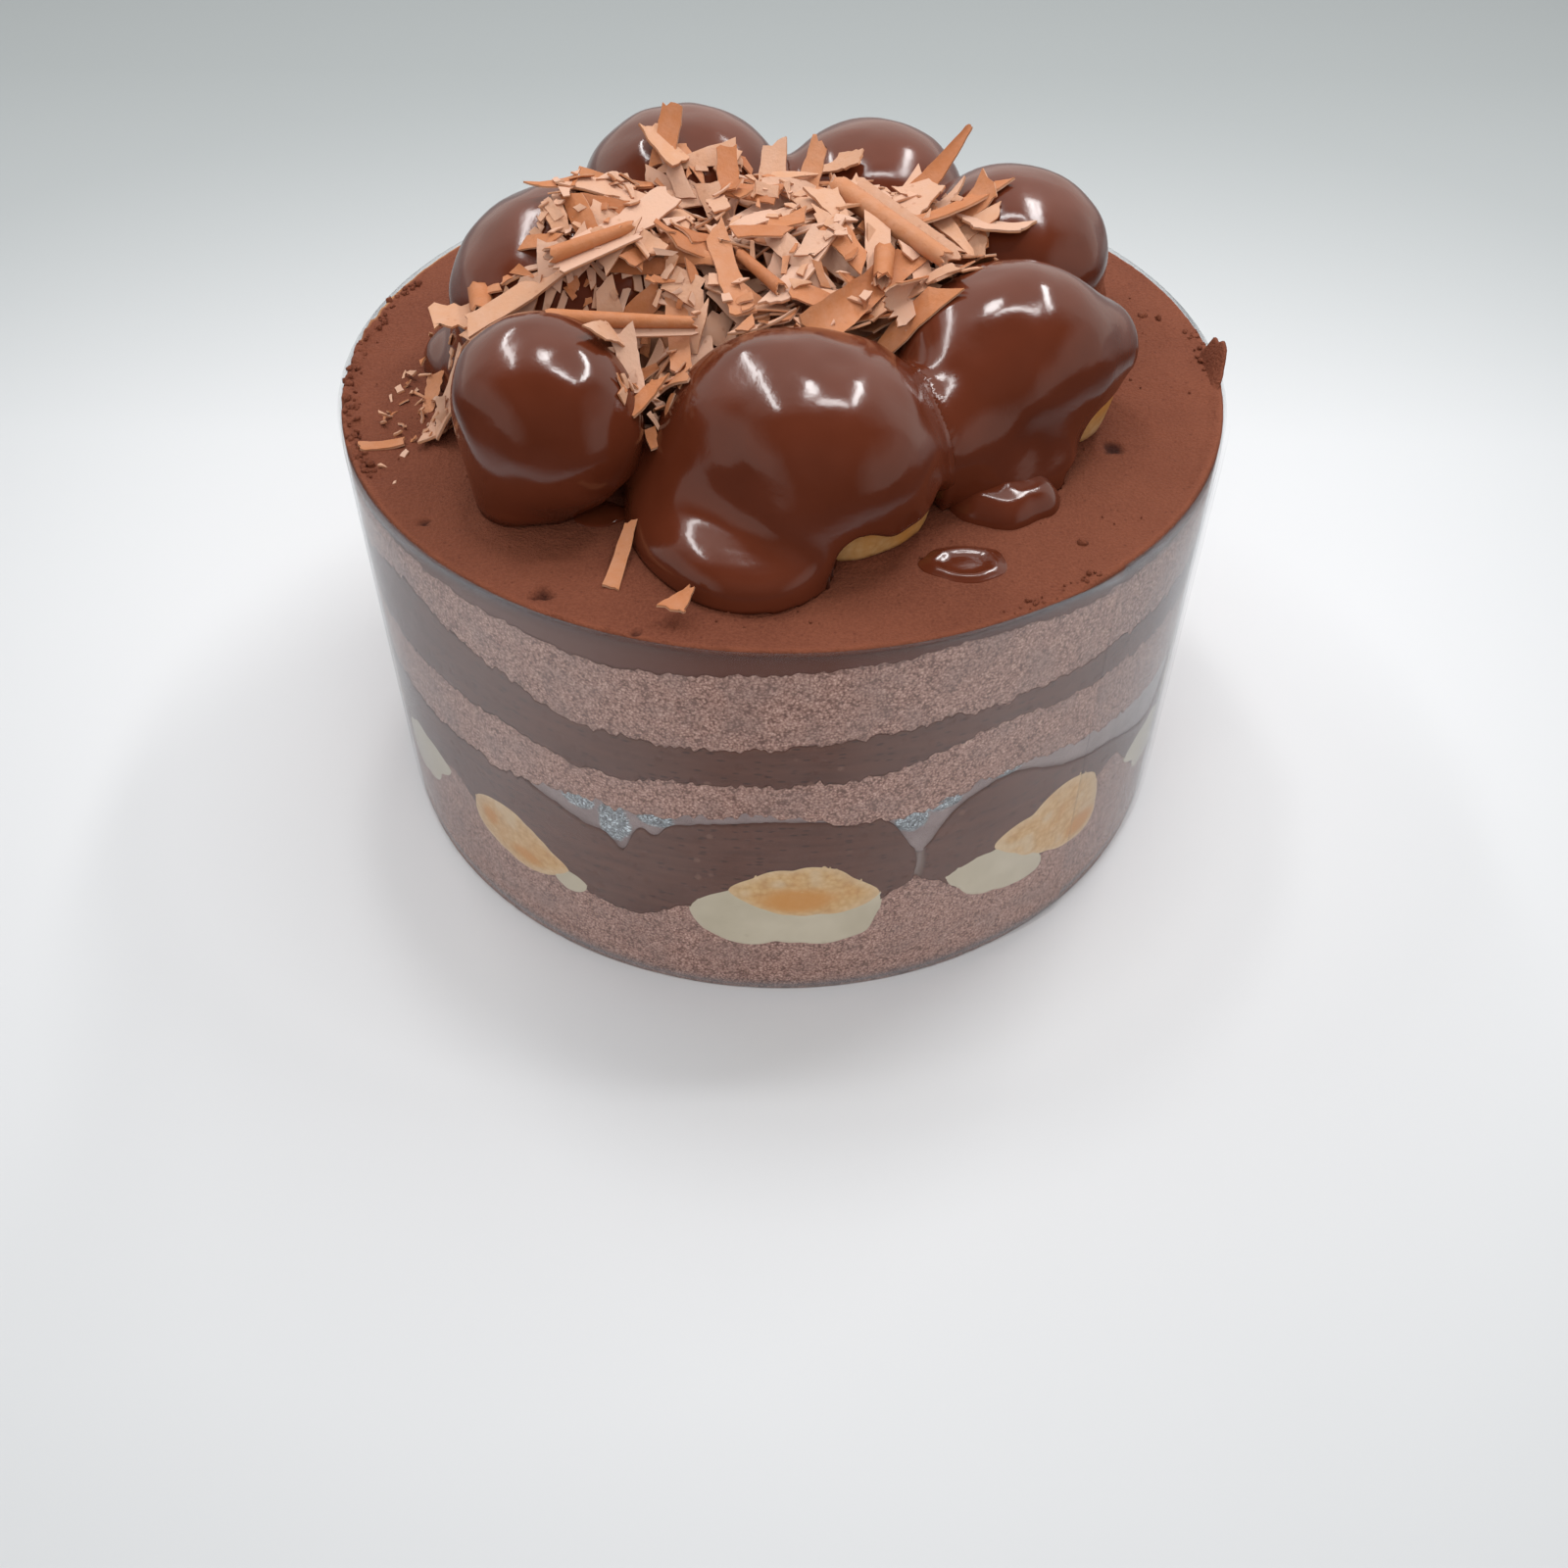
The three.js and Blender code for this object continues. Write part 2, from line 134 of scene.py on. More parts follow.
def sheetFaces(rows, columns):
    # faces of a thick sheet: its outer grid, its inner grid turned round, and the rim between them
    outer = gridQuads(rows, columns)
    count = rows * columns
    place = np.arange(count).reshape(rows, columns)
    loop = np.concatenate([place[0, :-1], place[:-1, -1], place[-1, :0:-1], place[:0:-1, 0]])
    ahead = np.roll(loop, -1)
    rim = np.stack([ahead, loop, loop + count, ahead + count], -1)
    return np.concatenate([outer, outer[:, ::-1] + count, rim])


def thickSheet(outer, inner):
    # a closed sheet between two grids of points
    rows, columns = outer.shape[:2]
    return np.concatenate([outer.reshape(-1, 3), inner.reshape(-1, 3)]), [sheetFaces(rows, columns)]


def enclosedVolume(points, faces):
    # the sum of the pyramids from the origin to each face's triangles
    total = 0.0
    for part in faces:
        for k in range(1, part.shape[1] - 1):
            first, second, third = points[part[:, 0]], points[part[:, k]], points[part[:, k + 1]]
            total += np.einsum("ij,ij->", first, np.cross(second, third)) / 6
    return total


def makePiece(name, skin, material, replaced=(), marks=None, sharp=None):
    # puts points in millimetres and faces into a mesh whose faces look outwards
    points, faces = skin
    if enclosedVolume(points, faces) < 0:
        faces = [part[:, ::-1] for part in faces]
    corners = np.concatenate([part.ravel() for part in faces])
    sizes = np.concatenate([np.full(len(part), part.shape[1]) for part in faces])
    mesh = bpy.data.meshes.new(name)
    mesh.vertices.add(len(points))
    mesh.vertices.foreach_set("co", (points * 0.001).astype(np.float32).ravel())
    mesh.loops.add(len(corners))
    mesh.loops.foreach_set("vertex_index", corners.astype(np.int32))
    mesh.polygons.add(len(sizes))
    mesh.polygons.foreach_set("loop_start", np.concatenate([[0], np.cumsum(sizes)[:-1]]).astype(np.int32))
    mesh.polygons.foreach_set("use_smooth", np.ones(len(sizes), bool))
    mesh.update(calc_edges=True)
    for mark, values in (marks or {}).items():
        attribute = mesh.attributes.new(mark, "FLOAT", "POINT")
        attribute.data.foreach_set("value", np.asarray(values, np.float32).ravel())
    if sharp is not None:
        mesh.set_sharp_from_angle(angle=math.radians(sharp))
    mesh.materials.append(material)
    piece = bpy.data.objects.new(name, mesh)
    bpy.context.scene.collection.objects.link(piece)
    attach(piece, "root")
    if replaced:
        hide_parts(*replaced)
    return piece


# Shader tools

def addNode(tree, kind, inputs=None, **settings):
    # one node, with each input given as a number, a colour or another node's output
    made = tree.nodes.new(kind)
    for key, value in settings.items():
        setattr(made, key, value)
    for key, value in (inputs or {}).items():
        if isinstance(value, bpy.types.NodeSocket):
            tree.links.new(value, made.inputs[key])
        else:
            made.inputs[key].default_value = value
    return made


def maths(tree, operation, first, second=0.0):
    # one step of arithmetic on two numbers
    made = addNode(tree, "ShaderNodeMath", {0: first, 1: second}, operation=operation)
    return made.outputs[0]


def scaled(tree, value, share):
    # a number times a share
    return maths(tree, "MULTIPLY", value, share)


def spread(tree, value, low, high, newLow=0.0, newHigh=1.0):
    # maps the range low..high to newLow..newHigh, held at both ends
    made = addNode(tree, "ShaderNodeMapRange", {"Value": value, "From Min": low, "From Max": high,
                                                "To Min": newLow, "To Max": newHigh})
    return made.outputs["Result"]


def asColour(colour):
    # three numbers are a screen colour, and anything else is taken as it is
    return screenColour(*colour) if isinstance(colour, tuple) and len(colour) == 3 else colour


def mixColour(tree, share, first, second, blend="MIX"):
    # one colour over another by a share
    made = addNode(tree, "ShaderNodeMix", {0: share, 6: asColour(first), 7: asColour(second)},
                   data_type="RGBA", blend_type=blend)
    return made.outputs[2]


def colourRamp(tree, share, stops):
    # colours along a share from 0 to 1
    made = addNode(tree, "ShaderNodeValToRGB", {"Fac": share})
    elements = made.color_ramp.elements
    while len(elements) < len(stops):
        elements.new(0.5)
    for element, (place, colour) in zip(elements, stops):
        element.position = place
        element.color = asColour(colour)
    return made.outputs["Color"]


def noiseNode(tree, vector, scale, detail=2.0, rough=0.5, distort=0.0):
    # a noise texture from 0 to 1
    made = addNode(tree, "ShaderNodeTexNoise", {"Vector": vector, "Scale": scale, "Detail": detail,
                                                "Roughness": rough, "Distortion": distort})
    return made.outputs[0]


def objectPlace(tree):
    # the place on the object, in metres
    return tree.nodes.new("ShaderNodeTexCoord").outputs["Object"]


def flattened(tree, share):
    # the place on the object with its height stretched, which flattens a pattern
    mapped = addNode(tree, "ShaderNodeMapping", {"Vector": objectPlace(tree), "Scale": (1.0, 1.0, share)})
    return mapped.outputs[0]


def markValue(tree, mark):
    # a number kept on the mesh
    return addNode(tree, "ShaderNodeAttribute", attribute_name=mark).outputs["Fac"]


def newMaterial(name, constants):
    # a material with its shader's fixed values set
    material = bpy.data.materials.new(name)
    material.use_nodes = True
    tree = material.node_tree
    shader = tree.nodes["Principled BSDF"]
    for key, value in constants.items():
        shader.inputs[key].default_value = value
    return material, tree, shader


def bumpNormal(tree, shader, height, distance, strength=1.0):
    # small relief from a height of 0 to 1
    bump = addNode(tree, "ShaderNodeBump", {"Height": height, "Distance": distance, "Strength": strength})
    tree.links.new(bump.outputs["Normal"], shader.inputs["Normal"])


def newGroup(name, inputs, outputs):
    # an empty shader group with named number inputs and outputs
    group = bpy.data.node_groups.new(name, "ShaderNodeTree")
    for key, value in inputs.items():
        socket = group.interface.new_socket(key, in_out="INPUT", socket_type="NodeSocketFloat")
        socket.default_value = value
    for key in outputs:
        group.interface.new_socket(key, in_out="OUTPUT", socket_type="NodeSocketFloat")
    return group, group.nodes.new("NodeGroupInput").outputs, group.nodes.new("NodeGroupOutput").inputs


crumbMix = {"middle": 0.25, "patch": 0.06, "cell": 0.8,  # scales as shares of the grain's
            "hollow": 0.3, "holeFrom": (0.3, 0.18), "holeDepth": 0.6,
            "fineTone": 0.45, "middleTone": 0.25, "grainTone": 0.3}


def crumbGroup():
    # crumb: fine grains, holes between cells, and slow patches; sizes are in grains to the metre
    group, given, result = newGroup("crumb", {"Grain": 1800.0, "Holes": 0.5},
                                    ["Tone", "Hole", "Height", "Patch"])
    place = objectPlace(group)
    fine = noiseNode(group, place, given["Grain"], 2.0, 0.7)
    middle = noiseNode(group, place, scaled(group, given["Grain"], crumbMix["middle"]), 3.0, 0.6)
    patch = noiseNode(group, place, scaled(group, given["Grain"], crumbMix["patch"]), 3.0, 0.55)
    cellScale = scaled(group, given["Grain"], crumbMix["cell"])
    cells = addNode(group, "ShaderNodeTexVoronoi", {"Vector": place, "Scale": cellScale}).outputs["Distance"]
    hollow = maths(group, "SUBTRACT", middle, scaled(group, cells, crumbMix["hollow"]))
    hole = scaled(group, spread(group, hollow, *crumbMix["holeFrom"]), given["Holes"])
    grain = maths(group, "SUBTRACT", 1.0, cells)
    tone = scaled(group, fine, crumbMix["fineTone"])
    tone = maths(group, "ADD", tone, scaled(group, middle, crumbMix["middleTone"]))
    tone = maths(group, "ADD", tone, scaled(group, grain, crumbMix["grainTone"]))
    height = maths(group, "SUBTRACT", tone, scaled(group, hole, crumbMix["holeDepth"]))
    for key, value in {"Tone": tone, "Hole": hole, "Height": height, "Patch": patch}.items():
        group.links.new(value, result[key])
    return group


speckMix = {"edge": (0.32, 0.16), "grain": 2.2}  # a speck's soft edge, and the grain's scale by the specks'


def speckGroup():
    # specks: sparse small dots, with a fine grain under them
    group, given, result = newGroup("speck", {"Scale": 900.0, "Amount": 0.2}, ["Speck", "Grain"])
    place = objectPlace(group)
    dots = addNode(group, "ShaderNodeTexVoronoi", {"Vector": place, "Scale": given["Scale"]})
    drawn = addNode(group, "ShaderNodeSeparateColor", {0: dots.outputs["Color"]}).outputs[0]
    picked = maths(group, "LESS_THAN", drawn, given["Amount"])
    near = spread(group, dots.outputs["Distance"], *speckMix["edge"])
    grain = noiseNode(group, place, scaled(group, given["Scale"], speckMix["grain"]), 2.0, 0.6)
    group.links.new(scaled(group, near, picked), result["Speck"])
    group.links.new(grain, result["Grain"])
    return group


# the film's reflection of the white room, painted as a pale veil on the colours behind the film, with
# patches of haze
reflectionAndHazeSet = {"aside": (0.008, 0.05), "level": (0.0, 0.08), "filmTop": (0.083, 0.0822),  # in metres
           "sideReflection": (0.06, 0.16), "patch": (0.03, 0.065), "patchScale": 30.0, "colour": (238, 231, 230)}


def reflectionAndHazeGroup():
    # painted reflection and haze of the film on what lies behind it: slow haze patches, and a painted
    # reflection that grows to the left and right and higher up
    group, result = newGroup("reflectionAndHaze", {}, ["Haze"])[::2]
    place = objectPlace(group)
    split = addNode(group, "ShaderNodeSeparateXYZ", {0: place})
    # painted reflection: the veil thickens to the left and right, where the film is seen edge-on, and higher
    # up
    aside = spread(group, maths(group, "ABSOLUTE", split.outputs["X"]), *reflectionAndHazeSet["aside"])
    sideReflection = scaled(group, aside, spread(group, split.outputs["Z"], *reflectionAndHazeSet["level"], *reflectionAndHazeSet["sideReflection"]))
    patch = noiseNode(group, place, reflectionAndHazeSet["patchScale"], 4.0, 0.6)
    patch = spread(group, patch, 0.35, 0.75, *reflectionAndHazeSet["patch"])
    behind = spread(group, split.outputs["Z"], *reflectionAndHazeSet["filmTop"])
    group.links.new(scaled(group, maths(group, "ADD", sideReflection, patch), behind), result["Haze"])
    return group


crumb = crumbGroup()
speck = speckGroup()
reflectionAndHaze = reflectionAndHazeGroup()


def placeGroup(tree, group, inputs):
    # one use of a group with its own values
    made = tree.nodes.new("ShaderNodeGroup")
    made.node_tree = group
    for key, value in inputs.items():
        made.inputs[key].default_value = value
    return made.outputs


def underReflectionAndHaze(tree, colour):
    # a colour under the film's painted reflection and haze
    return mixColour(tree, placeGroup(tree, reflectionAndHaze, {})["Haze"], colour, reflectionAndHazeSet["colour"])


def clouded(tree, cloud, colours):
    # one colour drifting into another with a noise
    return mixColour(tree, spread(tree, cloud, 0.3, 0.7), *colours)


def placeSpecks(tree, look):
    # the speck group with a look's own scale and amount
    return placeGroup(tree, speck, {"Scale": look["specks"][0], "Amount": look["specks"][1]})


def speckled(tree, colour, look, specks):
    # a colour with a look's specks over it
    return mixColour(tree, scaled(tree, specks["Speck"], look["specks"][2]), colour, look["speck"])



# Finishes: each one's look stands beside its nodes. Colours are screen colours, specks are scale, amount and
# strength, relief is the bump's distance in metres and strength. A range of four is taken from the first two
# numbers to the last two.

spongeLook = {
    "grain": 2600.0, "holes": 0.4, "relief": (0.0002, 0.4),
    "tones": [(0.36, (112, 80, 71)), (0.47, (150, 114, 103)), (0.56, (174, 138, 125)),
              (0.68, (208, 174, 160))],
    "hole": (96, 70, 63), "patch": (134, 112, 106), "patchFrom": (0.45, 0.75, 0.0, 0.5),
}


def spongeFinish(look):
    # crumb from dark to pale, with small holes and slow greyer patches
    material, tree, shader = newMaterial("chocolateSponge", {"Roughness": 0.95, "Specular IOR Level": 0.15})
    crumbs = placeGroup(tree, crumb, {"Grain": look["grain"], "Holes": look["holes"]})
    colour = colourRamp(tree, crumbs["Tone"], look["tones"])
    colour = mixColour(tree, crumbs["Hole"], colour, look["hole"])
    colour = mixColour(tree, spread(tree, crumbs["Patch"], *look["patchFrom"]), colour, look["patch"])
    tree.links.new(underReflectionAndHaze(tree, colour), shader.inputs["Base Color"])
    bumpNormal(tree, shader, crumbs["Height"], *look["relief"])
    return material


ganacheLook = {
    "streakScale": 90.0, "streakFlat": 7.0, "dashScale": 520.0, "dashFlat": 3.0, "dashShare": 0.3,
    "dashFrom": (0.45, 0.25, 0.0, 0.75),
    "smear": ((84, 50, 39), (98, 60, 47)), "dash": (54, 28, 22), "specks": (420.0, 0.05, 0.3),
    "speck": (150, 112, 96), "wet": (152, 136, 130),
}


def ganacheFinish(look):
    # level streaks, short dark dashes where air was caught, a few pale specks, and a wet slit
    material, tree, shader = newMaterial("darkGanache", {"Roughness": 0.6, "Specular IOR Level": 0.25})
    smear = noiseNode(tree, flattened(tree, look["streakFlat"]), look["streakScale"], 2.0, 0.5)
    dashes = addNode(tree, "ShaderNodeTexVoronoi", {"Vector": flattened(tree, look["dashFlat"]),
                                                    "Scale": look["dashScale"]})
    picked = addNode(tree, "ShaderNodeSeparateColor", {0: dashes.outputs["Color"]}).outputs[0]
    picked = maths(tree, "LESS_THAN", picked, look["dashShare"])
    pits = scaled(tree, spread(tree, dashes.outputs["Distance"], *look["dashFrom"]), picked)
    colour = clouded(tree, smear, look["smear"])
    colour = mixColour(tree, pits, colour, look["dash"])
    colour = speckled(tree, colour, look, placeSpecks(tree, look))
    colour = mixColour(tree, markValue(tree, "wet"), colour, look["wet"])
    tree.links.new(underReflectionAndHaze(tree, colour), shader.inputs["Base Color"])
    return material


mousseLook = {
    "cloudScale": 38.0, "cloud": ((106, 56, 39), (123, 69, 49)), "specks": (1000.0, 0.12, 0.5),
    "grainFrom": (0.35, 0.7, 0.0, 0.5), "bandPowder": 0.05,
    # the dark dent colour is painted shade in the deeper dents, and the paler rim colour is a painted
    # highlight along the rim
    "grain": (140, 82, 60), "speck": (86, 42, 29), "dentShade": (60, 28, 20), "rim": (134, 76, 54),
    "smear": (186, 134, 92), "band": (94, 54, 42), "powderScale": 700.0, "relief": (0.0005, 0.7),
}


def mousseFinish(look):
    # powdery: clouds under grain and specks; marks on the mesh colour a smear and the side, and paint shade
    # into the deeper dents and a highlight along the rim
    material, tree, shader = newMaterial("chocolateMousse", {"Roughness": 0.85, "Specular IOR Level": 0.2})
    place = objectPlace(tree)
    colour = clouded(tree, noiseNode(tree, place, look["cloudScale"], 4.0, 0.55), look["cloud"])
    specks = placeSpecks(tree, look)
    colour = mixColour(tree, spread(tree, specks["Grain"], *look["grainFrom"]), colour, look["grain"])
    colour = speckled(tree, colour, look, specks)
    for mark in ("dentShade", "rim", "smear"):
        colour = mixColour(tree, markValue(tree, mark), colour, look[mark])
    band = markValue(tree, "band")
    colour = mixColour(tree, band, colour, underReflectionAndHaze(tree, look["band"]))
    tree.links.new(colour, shader.inputs["Base Color"])
    powder = maths(tree, "ADD", specks["Grain"], noiseNode(tree, place, look["powderScale"], 3.0, 0.6))
    powder = scaled(tree, powder, spread(tree, band, 0.0, 1.0, 1.0, look["bandPowder"]))
    bumpNormal(tree, shader, powder, *look["relief"])
    return material


glazeLook = {"cloudScale": 60.0, "cloud": ((88, 39, 22), (100, 46, 28)), "rough": (0.3, 0.8, 0.12, 0.2),
             "fineScale": 700.0, "relief": (0.00005, 0.5)}


def glazeFinish(look):
    # smooth and glossy, a little cloudy, with the faintest ripple
    material, tree, shader = newMaterial("chocolateGlaze", {"IOR": 1.5})
    place = objectPlace(tree)
    cloud = noiseNode(tree, place, look["cloudScale"], 3.0, 0.5)
    tree.links.new(clouded(tree, cloud, look["cloud"]), shader.inputs["Base Color"])
    tree.links.new(spread(tree, cloud, *look["rough"]), shader.inputs["Roughness"])
    bumpNormal(tree, shader, noiseNode(tree, place, look["fineScale"], 2.0, 0.5), *look["relief"])
    return material


chouxLook = {
    "grain": 1000.0, "holes": 0.12, "relief": (0.0004, 0.4),
    "tones": [(0.34, (192, 148, 96)), (0.5, (202, 161, 109)), (0.64, (210, 174, 125))],
    "hole": (168, 112, 60), "brown": (200, 136, 62), "pale": (212, 194, 164),
}


def chouxFinish(look):
    # baked crust; marks on the mesh brown it and pale it
    material, tree, shader = newMaterial("bakedChoux", {"Roughness": 0.75, "Specular IOR Level": 0.3})
    crumbs = placeGroup(tree, crumb, {"Grain": look["grain"], "Holes": look["holes"]})
    colour = colourRamp(tree, crumbs["Tone"], look["tones"])
    colour = mixColour(tree, crumbs["Hole"], colour, look["hole"])
    for mark in ("brown", "pale"):
        colour = mixColour(tree, markValue(tree, mark), colour, look[mark])
    tree.links.new(underReflectionAndHaze(tree, colour), shader.inputs["Base Color"])
    bumpNormal(tree, shader, crumbs["Height"], *look["relief"])
    return material


creamLook = {"cloudScale": 120.0, "cloud": ((184, 172, 148), (198, 186, 163)), "specks": (500.0, 0.1, 0.3),
             "speck": (170, 156, 130), "relief": (0.0004, 0.4)}


def creamFinish(look):
    # soft and cloudy, with faint specks
    material, tree, shader = newMaterial("whiteCream", {"Roughness": 0.45, "Specular IOR Level": 0.4})
    cloud = noiseNode(tree, objectPlace(tree), look["cloudScale"], 3.0, 0.5)
    colour = speckled(tree, clouded(tree, cloud, look["cloud"]), look, placeSpecks(tree, look))
    tree.links.new(underReflectionAndHaze(tree, colour), shader.inputs["Base Color"])
    bumpNormal(tree, shader, cloud, *look["relief"])
    return material


shavingLook = {
    "tones": [(0.0, (151, 81, 44)), (0.3, (188, 119, 75)), (0.65, (201, 150, 117)), (1.0, (211, 169, 145))],
    "bloomScale": 420.0, "bloom": (206, 167, 146), "specks": (700.0, 0.14, 0.35), "speck": (166, 106, 74),
    "bloomFrom": (0.4, 0.7, 0.0, 0.5), "relief": (0.0002, 0.5),
}


def shavingFinish(look):
    # tone 0 is the smooth orange side of a shaving, tone 1 its dusty pale side
    material, tree, shader = newMaterial("milkShaving", {"Roughness": 0.6, "Specular IOR Level": 0.3})
    bloom = noiseNode(tree, objectPlace(tree), look["bloomScale"], 3.0, 0.6)
    tone = markValue(tree, "tone")
    colour = colourRamp(tree, tone, look["tones"])
    dusty = scaled(tree, spread(tree, bloom, *look["bloomFrom"]), tone)
    colour = mixColour(tree, dusty, colour, look["bloom"])
    specks = placeSpecks(tree, look)
    colour = speckled(tree, colour, look, specks)
    tree.links.new(colour, shader.inputs["Base Color"])
    bumpNormal(tree, shader, maths(tree, "ADD", bloom, specks["Grain"]), *look["relief"])
    return material


pocketLook = {
    "crinkleScale": 900.0, "relief": (0.0005, 0.6),
    "cloudScale": 160.0, "cloud": ((132, 114, 112), (156, 138, 136)),
    # painted glints: dark to near white along the crinkle noise, standing in for the wet film's highlights
    "glintRamp": [(0.32, (72, 76, 80)), (0.46, (112, 116, 120)), (0.56, (156, 166, 172)),
               (0.66, (228, 238, 244))],
}


def pocketFinish(look):
    # a dull wet lining; where the mesh is marked it is crinkled, with painted glints along the crinkles
    material, tree, shader = newMaterial("wetPocket", {"Roughness": 0.3, "Specular IOR Level": 0.5})
    place = objectPlace(tree)
    crinkle = noiseNode(tree, place, look["crinkleScale"], 3.0, 0.6, 2.5)
    colour = clouded(tree, noiseNode(tree, place, look["cloudScale"], 3.0, 0.6), look["cloud"])
    glintRamp = colourRamp(tree, crinkle, look["glintRamp"])
    colour = mixColour(tree, markValue(tree, "glintShare"), colour, glintRamp)
    tree.links.new(underReflectionAndHaze(tree, colour), shader.inputs["Base Color"])
    bumpNormal(tree, shader, crinkle, *look["relief"])
    return material


filmLook = {"mirror": (0.44, 0.47, 0.5, 1.0), "rough": 0.16, "patchScale": 30.0,
            "patch": (0.35, 0.75, 0.6, 0.9), "edgePower": 6.0}


def filmFinish(look):
    # a dim mirror whose share grows towards the edge of sight, as on any clear film, with patches of haze
    fixed = {"Base Color": look["mirror"], "Metallic": 1.0, "Roughness": look["rough"]}
    material, tree, shader = newMaterial("clearFilm", fixed)
    patch = noiseNode(tree, objectPlace(tree), look["patchScale"], 4.0, 0.6)
    facing = addNode(tree, "ShaderNodeLayerWeight", {"Blend": 0.5}).outputs["Facing"]
    veil = maths(tree, "POWER", facing, look["edgePower"])
    veil = scaled(tree, veil, spread(tree, patch, *look["patch"]))
    tree.links.new(scaled(tree, veil, markValue(tree, "sheen")), shader.inputs["Alpha"])
    return material


sponge = spongeFinish(spongeLook)
ganache = ganacheFinish(ganacheLook)
mousse = mousseFinish(mousseLook)
glaze = glazeFinish(glazeLook)
choux = chouxFinish(chouxLook)
cream = creamFinish(creamLook)
shaving = shavingFinish(shavingLook)
pocket = pocketFinish(pocketLook)
film = filmFinish(filmLook)
print("finishes made")


# Layers behind the film

layerEdges = {  # level, swells as (azimuth, half width in degrees, rise), and ruffle
    "base": (19.0, [(-50, 6, 10.5), (-33, 4, 3), (-20.5, 5, -2.3), (-12, 3, 3.5), (17.5, 6, 8.3),
                    (50, 7, 14)], 0.35),
    "ganache": (40.5, [(-24, 5, -4), (-20.2, 1.6, -5.5), (-15.6, 1.3, -2.8), (0, 14, 5), (11, 4.5, 2.2),
                       (17.8, 2.8, -8), (29.5, 8, 6.5), (63, 12, -9)], 0.15),
    "middleFoot": (41.5, [(-25, 6, 2), (-3, 14, 5.4), (30, 14, 7), (50, 10, 1.6)], 0.8),
    "middleTop": (54.4, [(-23, 10, -3), (27, 12, 5.4), (50, 18, 4.6)], 0.7),
    "topFoot": (65.5, [(-53, 12, 6), (-36, 6, 1.1), (-16, 17, -4.2), (4, 10, -1)], 0.8),
    "topTop": (79.5, [(-20, 17, -2.9), (21, 12, 1.5)], 0.55),
}
layerSet = {
    "ragged": [(0.5, 5.0), (0.7, 1.9), (0.9, 0.8)],  # strength and scale of the noises along an edge
    "faces": (0.05, 0.6, 0.97),  # rings of the flat faces as shares of the radius
    "gap": 0.05, "pit": 0.12, "pitScale": 3.0, "pitFrom": (0.1, 0.9), "pitSeed": 71,
    "bubble": 0.3, "bubbleScale": 1.1, "bubbleFlat": 1.6, "bubbleFrom": (0.6, 0.85), "bubbleSeed": 81,
    "closed": (-35, -31), "closedGap": 0.15,  # azimuths over which sponge and ganache part
}
rimAzimuth = np.linspace(-180, 180, cake["columns"], endpoint=False)


def edgeHeight(name, azimuth):
    # level plus bell-shaped swells, repeated half a turn round, plus a ragged line of noise round the rim
    level, swells, ruffle = layerEdges[name]
    height = np.full(np.shape(azimuth), level)
    for at, width, rise in swells:
        height = height + rise * np.exp(-(wrapped(azimuth - at) / width) ** 2)
        height = height + rise * np.exp(-(wrapped(azimuth - at - 180) / width) ** 2)
    spots = onRing(cake["sideRadius"], azimuth, 0.0)
    seed = list(layerEdges).index(name) * 10
    ragged = sum(strength * softNoise(spots, scale, seed + k)
                 for k, (strength, scale) in enumerate(layerSet["ragged"]))
    return height + ruffle * ragged


def layerSkin(lower, upper, relief, rows):
    # a round layer: out along the lower face, up the side, back along the upper face; relief moves the side
    share = np.linspace(0, 1, rows)[:, None]
    sideHeight = lower + (upper - lower) * share
    azimuth = np.broadcast_to(rimAzimuth, sideHeight.shape)
    spots = onRing(cake["sideRadius"], azimuth, sideHeight)
    sideRings = onRing(cake["sideRadius"] + relief(spots, azimuth, sideHeight), azimuth, sideHeight)
    faceShare = np.array(layerSet["faces"])[:, None]

    def faceRings(edge):
        # a flat face's rings, which take up the edge's swells outwards
        height = edge.mean() + (edge - edge.mean()) * faceShare
        return onRing(cake["sideRadius"] * faceShare, np.broadcast_to(rimAzimuth, height.shape), height)

    return np.concatenate([faceRings(lower), sideRings, faceRings(upper)[::-1]])


def spongeRelief(spots, azimuth, height):
    # shallow hollows: where the noise is high the crumb stands back from the film
    noise = layeredNoise(spots, layerSet["pitScale"], layerSet["pitSeed"])
    return -layerSet["gap"] - layerSet["pit"] * smoothStep(*layerSet["pitFrom"], noise)


def ganacheRelief(spots, azimuth, height):
    # smooth against the film, with a few flat bubbles
    flat = spots * np.array([1, 1, layerSet["bubbleFlat"]])
    noise = softNoise(flat, layerSet["bubbleScale"], layerSet["bubbleSeed"])
    return -layerSet["bubble"] * smoothStep(*layerSet["bubbleFrom"], noise)


slitSet = {"at": 17.8, "foot": (25.5, 28.0), "half": (0.64, 1.92), "opens": (34, 41), "edge": 0.35,
           "wave": 0.35, "waveTurn": 0.55, "depth": 1.2}


def slitShare(azimuth, height):
    # 1 in the slit between two lobes of ganache, which wavers from side to side and opens upwards
    across = np.radians(wrapped(azimuth - slitSet["at"])) * cake["sideRadius"]
    across = np.abs(across + slitSet["wave"] * np.sin(height * slitSet["waveTurn"]))
    narrow, broad = slitSet["half"]
    half = narrow + (broad - narrow) * smoothStep(*slitSet["opens"], height)
    opened = smoothStep(half + slitSet["edge"], half - slitSet["edge"], across)
    return opened * smoothStep(*slitSet["foot"], height)


def lowerGanacheRelief(spots, azimuth, height):
    # the ganache's own relief, sunk along the slit
    return ganacheRelief(spots, azimuth, height) - slitSet["depth"] * slitShare(azimuth, height)


